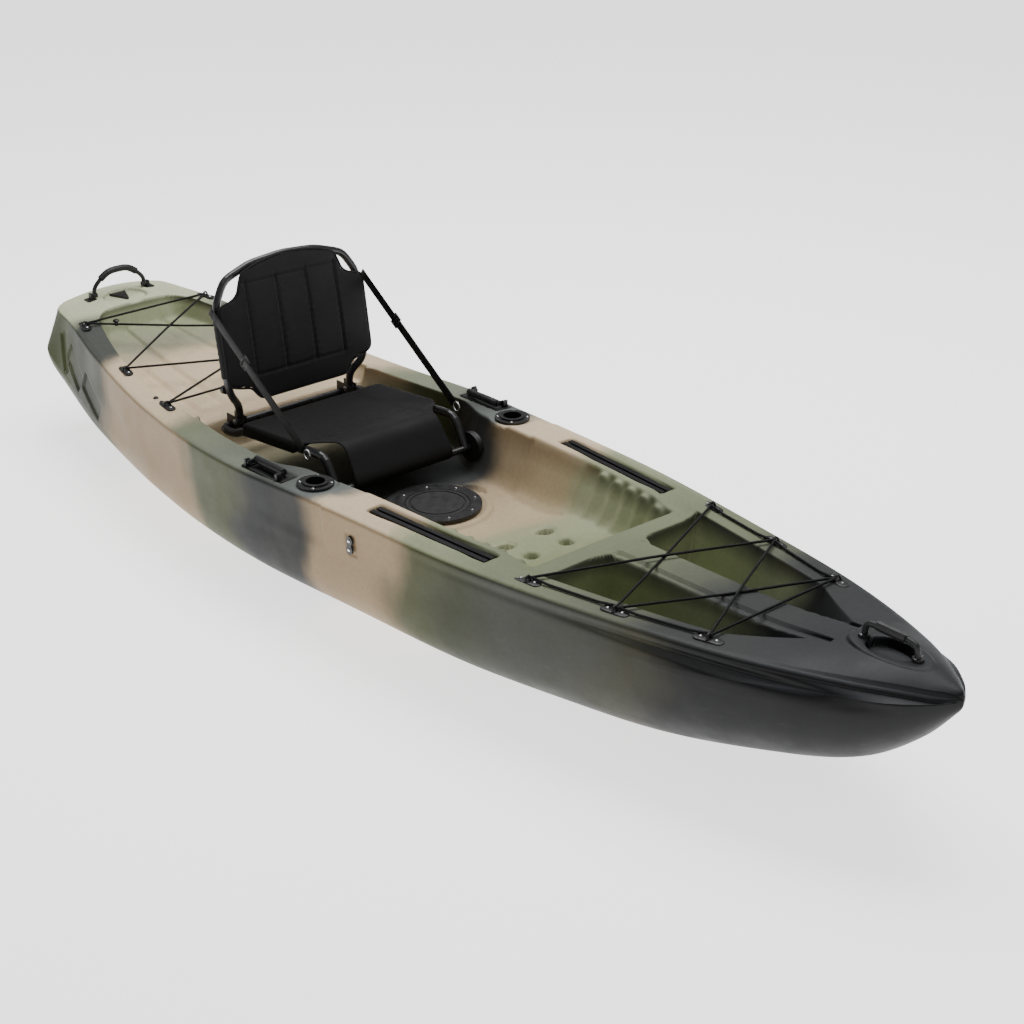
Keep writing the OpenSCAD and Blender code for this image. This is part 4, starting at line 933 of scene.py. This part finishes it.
# ---------------------------------------------------------------- seat
HINGE = centre("seat_hinge_bolts")
BACK_LEAN = math.radians(9)
PAN_LOW, PAN_HIGH = (Vector(v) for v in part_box("seat_pan"))
PAD_HIGH = Vector(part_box("seat_back_pad")[1])
SEAT_LENGTH, SEAT_RISE = 0.392, 0.040
SEAT_FRONT = HINGE.x + SEAT_LENGTH
TUBE_R = 0.011
BACK_TUBE_R = 0.0099
BACK_TUBE_FORWARD = 0.036
BACK_TUBE_HALF = 0.216
CLEARANCE = 0.0003
PAD_THICK = 0.0135
PAD_BOTTOM, PAD_TOP = 0.092, 0.400
SLEEVE_SPAN = (0.126, 0.288)
PAN_HALF = PAN_HIGH.y
PAN_REAR = PAN_LOW.x
PAN_SLOPE = SEAT_RISE / SEAT_LENGTH
FALL_HALF = 0.148


def leaned(x, y, z):
    """A point of the upright backrest, leaned back over its hinge."""
    c, s = math.cos(BACK_LEAN), math.sin(BACK_LEAN)
    return np.array((HINGE.x + x * c - z * s, y, HINGE.z + x * s + z * c))


def simulate(obj, pressure, cap, pinned=None, frames=20, gravity=0.0, stiffness=18.0):
    """Runs cloth on the piece, keeps each point within cap of where it was, and leaves a plain mesh."""
    start = np.array([v.co[:] for v in obj.data.vertices])
    mod = obj.modifiers.new("cloth", "CLOTH")
    cloth = mod.settings
    cloth.use_pressure, cloth.uniform_pressure_force = pressure > 0, pressure
    cloth.quality, cloth.mass = 6, 0.25
    cloth.tension_stiffness = cloth.compression_stiffness = cloth.shear_stiffness = stiffness
    cloth.bending_stiffness = 2.0
    cloth.effector_weights.gravity = gravity
    mod.collision_settings.use_self_collision = False
    mod.point_cache.frame_start, mod.point_cache.frame_end = 1, frames
    if pinned is not None:
        group = obj.vertex_groups.new(name="pinned")
        group.add([int(i) for i in np.flatnonzero(pinned)], 1.0, "REPLACE")
        cloth.vertex_group_mass = "pinned"
    scene = bpy.context.scene
    for f in range(1, frames + 1):
        scene.frame_set(f)
    done = obj.evaluated_get(bpy.context.evaluated_depsgraph_get())
    end = np.array([v.co[:] for v in done.data.vertices])
    move = end - start
    far = np.linalg.norm(move, axis=1)
    move *= (np.minimum(far, cap) / np.maximum(far, 1e-9))[:, None]
    obj.modifiers.clear()
    scene.frame_set(1)
    obj.data.vertices.foreach_set("co", (start + move).ravel())
    obj.data.update()
    return obj


def move_points(obj, shift):
    """Moves each vertex by what shift returns for an array of positions."""
    co = np.array([v.co[:] for v in obj.data.vertices])
    obj.data.vertices.foreach_set("co", (co + shift(co)).ravel())
    obj.data.update()


def remesh(obj, voxel):
    mod = obj.modifiers.new("voxels", "REMESH")
    mod.mode, mod.voxel_size, mod.use_smooth_shade = "VOXEL", voxel, True
    return evaluated(obj)


def subdivide(obj, levels=1):
    mod = obj.modifiers.new("smooth", "SUBSURF")
    mod.levels = mod.render_levels = levels
    return evaluated(obj)


def pad_outline(inset=0.0):
    """Outline of the backrest pad as (y, z) upright; corners cut away at top and bottom, arched top."""
    w, low, high = PAD_HIGH.y, PAD_BOTTOM, PAD_TOP
    half = [(0.0, low - 0.038), (w - 0.092, low - 0.038), (w - 0.078, low - 0.024),
            (w - 0.066, low - 0.006),
            (w - 0.030, low + 0.002), (w - 0.006, low + 0.010), (w, low + 0.024), (w, high - 0.104),
            (w - 0.006, high - 0.093),
            (w - 0.044, high - 0.084), (w - 0.062, high - 0.070), (w - 0.072, high - 0.040),
            (w - 0.082, high - 0.020),
            (w - 0.130, high - 0.004), (w - 0.180, high + 0.004), (0.0, high + 0.007)]
    pts = [np.array(p) for p in half] + [np.array((-y, z)) for y, z in reversed(half[1:-1])]
    mid = np.array((0.0, (low + high) / 2))
    return [mid + (p - mid) * (1 - inset / max(np.abs(p - mid).max(), 0.05)) for p in pts]


# across the backrest, where its sewn channels run
CHANNELS = (-0.135, -0.045, 0.045, 0.135)


def near_outline(pad, reach):
    """True for the points of the pad that lie within reach of its outline."""
    c, s = math.cos(BACK_LEAN), math.sin(BACK_LEAN)
    co = np.array([v.co[:] for v in pad.data.vertices])
    p = np.stack([co[:, 1], -(co[:, 0] - HINGE.x) * s + (co[:, 2] - HINGE.z) * c], 1)
    outline = np.array(pad_outline(0.003))
    gap = np.full(len(p), 1.0)
    for a, b in zip(outline, np.roll(outline, -1, axis=0)):
        t = np.clip(((p - a) @ (b - a)) / ((b - a) @ (b - a)), 0, 1)
        gap = np.minimum(gap, np.linalg.norm(p - a - t[:, None] * (b - a), axis=1))
    return gap < reach


def build_back_pad():
    front = BACK_TUBE_FORWARD + BACK_TUBE_R + CLEARANCE
    thick = PAD_THICK
    outline = pad_outline(0.003)
    n = len(outline)
    verts = [leaned(front + 0.001, y, z) for y, z in outline] + [leaned(front + thick - 0.0025, y, z) for y,
        z in outline]
    faces = [tuple(range(n)), tuple(reversed(range(n, 2 * n)))] + [((i + 1) % n, i, n + i, n + (i + 1) % n)
        for i in range(n)]
    pad = mesh_object("seat_back_cushion", verts, faces)
    remesh(pad, 0.0050)
    simulate(pad, 4.0, settings().pad_cap, near_outline(pad, 0.006))
    subdivide(pad)
    c, s = math.cos(BACK_LEAN), math.sin(BACK_LEAN)

    depth_of_channel = settings().channel_depth

    def sewn(co):
        x, z = co[:, 0] - HINGE.x, co[:, 2] - HINGE.z
        u, h, y = x * c + z * s, -x * s + z * c, co[:, 1]
        depth = np.zeros(len(co))
        inside = smooth(0.100, 0.130, h) * smooth(0.372, 0.345, h)
        for at in CHANNELS:
            depth += depth_of_channel * np.exp(-((y - at) / 0.0040) ** 2) * inside
        for level in (0.118, 0.352):
            depth += 0.0034 * np.exp(-((h - level) / 0.0038) ** 2) * smooth(0.150, 0.140, np.abs(y))
        # small puckers where the thread pulls beside each seam
        near = np.min([np.abs(y - at) for at in CHANNELS], axis=0)
        depth += 0.0006 * np.sin(h * 2 * math.pi / 0.017) * np.exp(-(near / 0.016) ** 2) * inside
        middle = front + thick / 2
        push = np.where(u > middle, -depth, depth * 0.3)
        # nothing may stand back into the tube it hangs on
        u_new = np.maximum(u + push, front + 0.0004)
        d = u_new - u
        return np.stack([d * c, np.zeros_like(d), d * s], 1)

    move_points(pad, sewn)
    dress(pad, "seat_fabric", "seat_back", ["seat_back_pad"], "back_fabric")
    edge = [leaned(front + thick / 2, y, z) for y, z in pad_outline(0.0015)]
    piping = sweep("seat_back_piping", rounded(edge[4:] + edge[:5], 0.012), settings().piping, 10)
    dress(piping, "seat_fabric", "seat_back", (), "webbing")
    stitches = []
    for at in CHANNELS:
        for k in range(34):
            z = 0.112 + k * 0.0072
            y = at + 0.0085 * (1 if at > 0 else -1)
            stitches.append(sweep("stitch",
                                  [leaned(front + thick + 0.0028, y, z),
                                   leaned(front + thick + 0.0031, y, z + 0.0022),
                                             leaned(front + thick + 0.0028, y, z + 0.0044)], 0.0006, 5))
    thread = join("seat_back_stitching", stitches)
    dress(thread, "seat_fabric", "seat_back", (), "thread")
    # sleeves that hold the pad on the side tubes
    sleeves = []
    for side in (-1, 1):
        path = [leaned(BACK_TUBE_FORWARD, side * BACK_TUBE_HALF, z) for z in np.linspace(*SLEEVE_SPAN, 24)]
        sleeves.append(sweep("sleeve", path, 0.0122, 20))
    sleeve = join("seat_back_sleeves", sleeves)
    move_points(sleeve, lambda co: 0.0007
                * np.stack([np.sin(co[:, 2] * 410), np.sin(co[:, 2] * 330 + 1), 0 * co[:, 2]], 1))
    dress(sleeve, "seat_fabric", "seat_back", (), "back_fabric")


def pan_line(t):
    """Middle line of the sling, 0 at the rear hem and 1 at the foot of its front fall, as (x, z)."""
    up = 0.0145
    z0 = HINGE.z
    knots = [(PAN_REAR, z0 + (PAN_REAR - HINGE.x) * PAN_SLOPE + up),
             (SEAT_FRONT - 0.050, z0 + (SEAT_FRONT - 0.050 - HINGE.x) * PAN_SLOPE + up),
             (SEAT_FRONT - 0.004, z0 + SEAT_RISE + TUBE_R + 0.0035),
             (SEAT_FRONT + 0.018, z0 + SEAT_RISE + 0.0035),
             (PAN_HIGH.x - 0.006, PAN_LOW.z + 0.030), (PAN_HIGH.x - 0.010, PAN_LOW.z + 0.014),
             (PAN_HIGH.x - 0.024, PAN_LOW.z + 0.003)]
    path = np.array(rounded([np.array(k) for k in knots], 0.022, 6))
    run = np.concatenate([[0], np.cumsum(np.linalg.norm(np.diff(path, axis=0), axis=1))])
    s = np.asarray(t) * run[-1]
    return np.interp(s, run, path[:, 0]), np.interp(s, run, path[:, 1]), run[-1]


def build_pan():
    rows, cols = 96, 89
    t = np.linspace(0, 1, rows)
    x, z, length = pan_line(t)
    fold = (SEAT_FRONT - 0.050 - PAN_REAR) / length
    wrap = 0.026
    verts, pinned = [], []
    for i in range(rows):
        shrink = smooth(fold - 0.10, fold + 0.12, t[i])
        half = (PAN_HALF - 0.003) * (1 - shrink) + (FALL_HALF - 0.004 + 0.006 * smooth(0.75, 1.0,
            t[i])) * shrink
        edge = wrap * (1 - smooth(fold - 0.12, fold - 0.02, t[i]))
        for j in range(cols):
            v = 2 * j / (cols - 1) - 1
            s = abs(v) * (half + edge)
            y = min(s, half)
            drop = max(0, s - half)
            turn = smooth(half - 0.008, half, s) * 0.004
            sag = 0.0035 * (1 - (y / PAN_HALF) ** 2) * math.sin(math.pi * min(1,
                t[i] / max(fold, 0.1))) if t[i] < fold else 0
            verts.append((x[i], math.copysign(y, v), z[i] - drop - turn * (drop > 0) - sag))
            pinned.append(abs(v) * (half + edge) > half - 0.012 or i < 2 or t[i] > fold - 0.03)
    pan = mesh_object("seat_sling", verts, grid_faces(rows, cols))
    simulate(pan, 0.0, settings().sling_cap, np.array(pinned), 20, 0.35, 30.0)

    def sewn(co):
        rise = np.zeros(len(co))
        y, px = co[:, 1], co[:, 0]
        top = px < SEAT_FRONT - 0.02
        for at in (-0.130, 0.130):
            rise -= 0.0016 * np.exp(-((y - at) / 0.0035) ** 2) * top
        for at in (PAN_REAR + 0.018, SEAT_FRONT - 0.075):
            rise -= 0.0016 * np.exp(-((px - at) / 0.0035) ** 2) * (np.abs(y) < 0.2)
        rise += 0.0005 * np.sin(px * 2 * math.pi / 0.019) * np.exp(-((np.abs(y)
            - 0.130) / 0.018) ** 2) * top
        return np.stack([0 * rise, 0 * rise, rise], 1)

    move_points(pan, sewn)
    mod = pan.modifiers.new("cloth_thickness", "SOLIDIFY")
    mod.thickness, mod.offset = 0.0030, 0
    evaluated(pan)
    dress(pan, "seat_fabric", "root", ["seat_pan"])
    hem = []
    for side in (-1, 1):
        rim = [(x[i] - 0.001, side * ((PAN_HALF - 0.003) * (1 - smooth(fold - 0.10, fold + 0.12, t[i]))
                                      + (FALL_HALF - 0.004 + 0.006 * smooth(0.75, 1.0, t[i]))
                                      * smooth(fold - 0.10, fold + 0.12, t[i])),
                z[i] - wrap * (1 - smooth(fold - 0.12, fold - 0.02, t[i])))
                for i in range(int(rows * (fold - 0.05)), rows, 2)]
        hem.append(sweep("hem", rim, 0.0022, 8))
    binding = join("seat_sling_binding", hem)
    dress(binding, "seat_fabric", "root", (), "webbing")


STRAP_WIDTH = 0.025
STRAP_FOOT, STRAP_HEAD = (-0.2343, 0.2320, 0.3441), (-0.6080, 0.2339, 0.5980)
BUCKLE_SHARE = 0.62


def strap_ends(side):
    mirror = np.array((1, side, 1))
    return np.array(STRAP_FOOT) * mirror, np.array(STRAP_HEAD) * mirror


def build_strap(side, name, node):
    """Webbing from the hook to the backrest, doubled as far as its buckle, with bar tacks at the top."""
    foot, head = strap_ends(side)
    along = (head - foot) / np.linalg.norm(head - foot)
    flat = np.array((0.0, 1.0, 0.0))
    face = np.cross(along, flat)
    lay = np.array((0, side * 0.0016, 0))
    buckle = foot + (head - foot) * BUCKLE_SHARE
    run = [foot + (head - foot) * t for t in np.linspace(0, 1, 40)]
    main = sweep(name + "_run", run, 0.0008, wide=STRAP_WIDTH, across=face)
    fold = [foot + lay + (buckle - foot) * t for t in np.linspace(0, 1, 28)]
    second = sweep(name + "_return", fold, 0.0007, wide=STRAP_WIDTH * 0.97, across=face)
    obj = join(name, [main, second])
    dress(obj, "webbing", None, [node])
    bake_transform(obj)
    tack = [sweep("tack", [head - along * d + lay * 0.6 - face * 0.011,
                           head - along * d + lay * 0.6 + face * 0.011], 0.0009, 6)
            for d in (0.006, 0.010, 0.026, 0.030)]
    tacks = join(name + "_bar_tacks", tack)
    dress(tacks, "webbing", None, (), "thread")
    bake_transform(tacks)


def build_buckle(side):
    """Tri-glide: a frame of three bars with the webbing through it."""
    foot, head = strap_ends(side)
    along = (head - foot) / np.linalg.norm(head - foot)
    face = np.cross(along, np.array((0.0, 1.0, 0.0)))
    out = np.array((0.0, 1.0, 0.0))
    at = foot + (head - foot) * BUCKLE_SHARE
    bars = []
    for d in (-0.011, 0.0, 0.011):
        bars.append(sweep("bar",
                          [at + along * d - face * 0.0165 + out * side * 0.0005,
                           at + along * d + face * 0.0165 + out * side * 0.0005],
                          0.0023 if d else 0.0019, 10))
    for e in (-1, 1):
        bars.append(sweep("rail", [at + face * e * 0.0160 + along * d for d in (-0.0125, 0.0, 0.0125)],
                          0.0024, 10))
    name = "buckle_port" if side > 0 else "buckle_starboard"
    obj = join(name, bars)
    dress(obj, "black_plastic", None, ["strap_buckles"] if side > 0 else ())
    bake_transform(obj)


# ---------------------------------------------------------------- operators
class KayakSettings(bpy.types.PropertyGroup):
    """Sizes and colours that a user may change before the pieces are built"""

    channel_depth: bpy.props.FloatProperty(name="Channel depth",
                                           description="How deep the sewn channels of the backrest pull in",
                                           default=0.0042, min=0.0, max=0.008, unit="LENGTH",
                                           subtype="DISTANCE")
    pad_cap: bpy.props.FloatProperty(name="Pad swell",
                                     description="How far the backrest pad may swell when it is filled",
                                     default=0.006, min=0.0, max=0.012, unit="LENGTH", subtype="DISTANCE")
    sling_cap: bpy.props.FloatProperty(name="Sling sag",
                                       description="How far the seat sling may sag between its tubes",
                                       default=0.005, min=0.0, max=0.012, unit="LENGTH", subtype="DISTANCE")
    piping: bpy.props.FloatProperty(name="Piping radius",
                                    description="Radius of the cord sewn into the backrest's edge",
                                    default=0.0028, min=0.001, max=0.005, unit="LENGTH", subtype="DISTANCE")
    edge: bpy.props.FloatProperty(name="Edge radius", description="Softened edge of the moulded fittings",
                                  default=0.0008, min=0.0002, max=0.002, unit="LENGTH", subtype="DISTANCE")
    # Tan and Green colour the hull's sides, darkened there as painted shade; the paler lit copies on faces
    # turned up are TAN_PAINTED_LIT and GREEN_PAINTED_LIT, a painted highlight.
    tan: bpy.props.FloatVectorProperty(name="Tan", description="Tan of the hull's camouflage",
                                       subtype="COLOR",
                                       size=3, default=TAN_PAINTED_SHADE, min=0.0, max=1.0)
    green: bpy.props.FloatVectorProperty(name="Green", description="Green of the hull's camouflage",
                                         subtype="COLOR",
                                         size=3, default=GREEN_PAINTED_SHADE, min=0.0, max=1.0)


class KAYAK_OT_hull(bpy.types.Operator):
    """Build the one-piece moulded hull with its wells, grooves, ribs and fitting seats"""

    bl_idname = "kayak.hull"
    bl_label = "Hull"

    def execute(self, context):
        hull = build_hull()
        dress(hull, "camo_hull", "root", ["hull_shell"])
        return {"FINISHED"}


class KAYAK_OT_hatch(bpy.types.Operator):
    """Finish the round deck plate, its ring, seal and screws"""

    bl_idname = "kayak.hatch"
    bl_label = "Deck plate"

    def execute(self, context):
        keep_nodes(("hatch_ring", "hatch_ring_screws", "hatch_seal", "hatch_lid"))
        return {"FINISHED"}


class KAYAK_OT_rod_holders(bpy.types.Operator):
    """Finish the flush rod holders and their screws"""

    bl_idname = "kayak.rod_holders"
    bl_label = "Rod holders"

    def execute(self, context):
        keep_nodes(("rod_holder_starboard", "rod_holder_port", "rod_holder_screws"))
        return {"FINISHED"}


class KAYAK_OT_tracks(bpy.types.Operator):
    """Finish the two gear tracks and their screws"""

    bl_idname = "kayak.tracks"
    bl_label = "Gear tracks"

    def execute(self, context):
        keep_nodes(("gear_track_starboard", "gear_track_port", "gear_track_screws"))
        return {"FINISHED"}


class KAYAK_OT_handles(bpy.types.Operator):
    """Finish the side, bow and stern handles with their bases and screws"""

    bl_idname = "kayak.handles"
    bl_label = "Handles"

    def execute(self, context):
        keep_nodes(("side_handle_base_starboard", "side_handle_base_port", "side_handle_grip_starboard",
                    "side_handle_grip_port", "bow_handle", "bow_handle_screws", "stern_handle",
                    "stern_handle_anchors", "stern_pocket_insert"))
        return {"FINISHED"}


class KAYAK_OT_trim(bpy.types.Operator):
    """Finish the paddle keepers, the plugs and the foam pillars inside"""

    bl_idname = "kayak.trim"
    bl_label = "Keepers and plugs"

    def execute(self, context):
        keep_nodes(("paddle_keepers", "paddle_keeper_screws", "drain_plug", "deck_plugs", "foam_pillar_bow",
                    "foam_pillar_stern"))
        return {"FINISHED"}


class KAYAK_OT_pad_eyes(bpy.types.Operator):
    """Build the twelve pad eyes and finish their rivets"""

    bl_idname = "kayak.pad_eyes"
    bl_label = "Pad eyes"

    def execute(self, context):
        for group in EYES:
            parts = [p for i in range(3) for side in (-1, 1) for p in pad_eye("eye", group, i, side)]
            dress(join("pad_eyes_" + group, parts), "black_plastic", "root", [group + "_pad_eyes"])
        keep_nodes(("pad_eye_rivets",))
        return {"FINISHED"}


class KAYAK_OT_lacing(bpy.types.Operator):
    """Lace the shock cord across the bow deck and the tankwell"""

    bl_idname = "kayak.lacing"
    bl_label = "Shock cord"

    def execute(self, context):
        front = lacing("front", ((0, -1), (1, 1), (2, -1), (2, 1), (1, -1), (0, 1)), (1, 1, 0, -1, -1))
        lace("bow_lacing", front, "front_bungee")
        for side, word in ((-1, "starboard"), (1, "port")):
            for i in range(2):
                lace("bow_run_" + word + "_" + str(i + 1), gunwale_run(i, side), "front_bungee")
        rear = lacing("rear", ((0, -1), (0, 1), (1, -1), (2, 1), (2, -1), (1, 1), (0, -1)),
                      (0, 1, 1, 0, -1, -1))
        rear[-1] = rear[-1] + Vector((0.008, 0.006, 0.001))
        lace("tankwell_lacing", rear, "rear_bungee")
        return {"FINISHED"}


class KAYAK_OT_seat_frame(bpy.types.Operator):
    """Finish the seat's tubes, feet, hinges and bolts"""

    bl_idname = "kayak.seat_frame"
    bl_label = "Seat frame"

    def execute(self, context):
        keep_nodes(("seat_base_frame", "seat_feet", "seat_foot_bolts", "seat_hinge_brackets",
                    "seat_hinge_bolts",
                    "seat_back_frame", "seat_back_knobs"))
        return {"FINISHED"}


class KAYAK_OT_seat_fabric(bpy.types.Operator):
    """Sew the seat's sling and fill the backrest pad"""

    bl_idname = "kayak.seat_fabric"
    bl_label = "Seat fabric"

    def execute(self, context):
        build_pan()
        build_back_pad()
        return {"FINISHED"}


class KAYAK_OT_straps(bpy.types.Operator):
    """Thread the side straps through their buckles"""

    bl_idname = "kayak.straps"
    bl_label = "Side straps"

    def execute(self, context):
        for side, word in ((-1, "starboard"), (1, "port")):
            build_strap(side, "strap_" + word + "_webbing", "strap_" + word)
            build_buckle(side)
        keep_nodes(("strap_hooks",))
        return {"FINISHED"}


class KAYAK_OT_stage(bpy.types.Operator):
    """Lay the pale studio floor, the soft lights and the camera"""

    bl_idname = "kayak.stage"
    bl_label = "Studio"

    def execute(self, context):
        build_stage()
        return {"FINISHED"}


CAMERA_AT = Vector((3.3612, -2.7218, 2.2113))
CAMERA_RIGHT, CAMERA_UP, CAMERA_BACK = (0.659, 0.752, 0.0), (-0.318, 0.279, 0.906), (0.682, -0.597, 0.423)
CAMERA_LENS = 69.55
FLOOR_REACH = 90.0
FLOOR_GLOW, WORLD_LIGHT = 1.7, 0.22


def area_light(name, at, target, size, power, spread=180):
    light = bpy.data.lights.new(name, "AREA")
    light.shape, light.size, light.size_y, light.energy = "RECTANGLE", size[0], size[1], power
    light.spread = math.radians(spread)
    obj = bpy.data.objects.new(name, light)
    obj.location = at
    obj.rotation_euler = (Vector(target) - Vector(at)).to_track_quat("-Z", "Y").to_euler()
    bpy.context.scene.collection.objects.link(obj)
    return obj


def build_stage():
    camera = bpy.data.objects.new("camera", bpy.data.cameras.new("camera"))
    axes = Matrix([Vector(CAMERA_RIGHT).normalized(), Vector(CAMERA_UP).normalized(),
                   Vector(CAMERA_BACK).normalized()]).transposed()
    camera.matrix_world = Matrix.Translation(CAMERA_AT) @ axes.to_4x4()
    camera.data.lens, camera.data.sensor_width = CAMERA_LENS, 36
    bpy.context.scene.collection.objects.link(camera)
    bpy.context.scene.camera = camera

    floor = mesh_object("studio_floor", [(-FLOOR_REACH, -FLOOR_REACH, 0), (FLOOR_REACH, -FLOOR_REACH, 0),
                         (FLOOR_REACH, FLOOR_REACH, 0), (-FLOOR_REACH, FLOOR_REACH, 0)],
                        [(0, 1, 2, 3)], False)
    floor.location.z = -0.0005
    n = Nodes("studio_floor")
    tone = n.mix(n.noise(0.6, 2.0, 0.5), (0.905, 0.905, 0.905), (0.925, 0.925, 0.925))
    floor.data.materials.append(n.finish(tone, 0.9, Emission_Color=(1, 1, 1, 1),
                                         Emission_Strength=FLOOR_GLOW, Specular_IOR_Level=0.2))

    world = bpy.data.worlds.new("studio")
    world.use_nodes = True
    world.node_tree.nodes["Background"].inputs["Color"].default_value = (1, 1, 1, 1)
    world.node_tree.nodes["Background"].inputs["Strength"].default_value = WORLD_LIGHT
    bpy.context.scene.world = world
    area_light("overhead", (-0.6, 1.2, 4.4), (0, 0, 0.2), (4.5, 3.0), 240)
    area_light("front", (3.6, -1.6, 3.4), (0.2, 0, 0.2), (3.0, 2.0), 12)


class KAYAK_PT_builder(bpy.types.Panel):
    """Lists the kayak's settings and the pieces that it is built from"""

    bl_idname = "KAYAK_PT_builder"
    bl_label = "Kayak"
    bl_space_type = "VIEW_3D"
    bl_region_type = "UI"
    bl_category = "Kayak"

    def draw(self, context):
        column = self.layout.column(align=True)
        for name in ("channel_depth", "pad_cap", "sling_cap", "piping", "edge", "tan", "green"):
            column.prop(context.scene.kayak, name)
        for step in STEPS:
            column.operator(step.bl_idname)


STEPS = (KAYAK_OT_hull, KAYAK_OT_hatch, KAYAK_OT_rod_holders, KAYAK_OT_tracks, KAYAK_OT_handles,
         KAYAK_OT_trim,
         KAYAK_OT_pad_eyes, KAYAK_OT_lacing, KAYAK_OT_seat_frame, KAYAK_OT_seat_fabric, KAYAK_OT_straps,
         KAYAK_OT_stage)
CLASSES = (KayakSettings, *STEPS, KAYAK_PT_builder)


def register():
    for cls in CLASSES:
        bpy.utils.register_class(cls)
    bpy.types.Scene.kayak = bpy.props.PointerProperty(type=KayakSettings)


def unregister():
    del bpy.types.Scene.kayak
    for cls in reversed(CLASSES):
        bpy.utils.unregister_class(cls)


def main():
    register()
    for step in STEPS:
        group, name = step.bl_idname.split(".")
        getattr(getattr(bpy.ops, group), name)()
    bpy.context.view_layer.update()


if __name__ == "__main__":
    main()
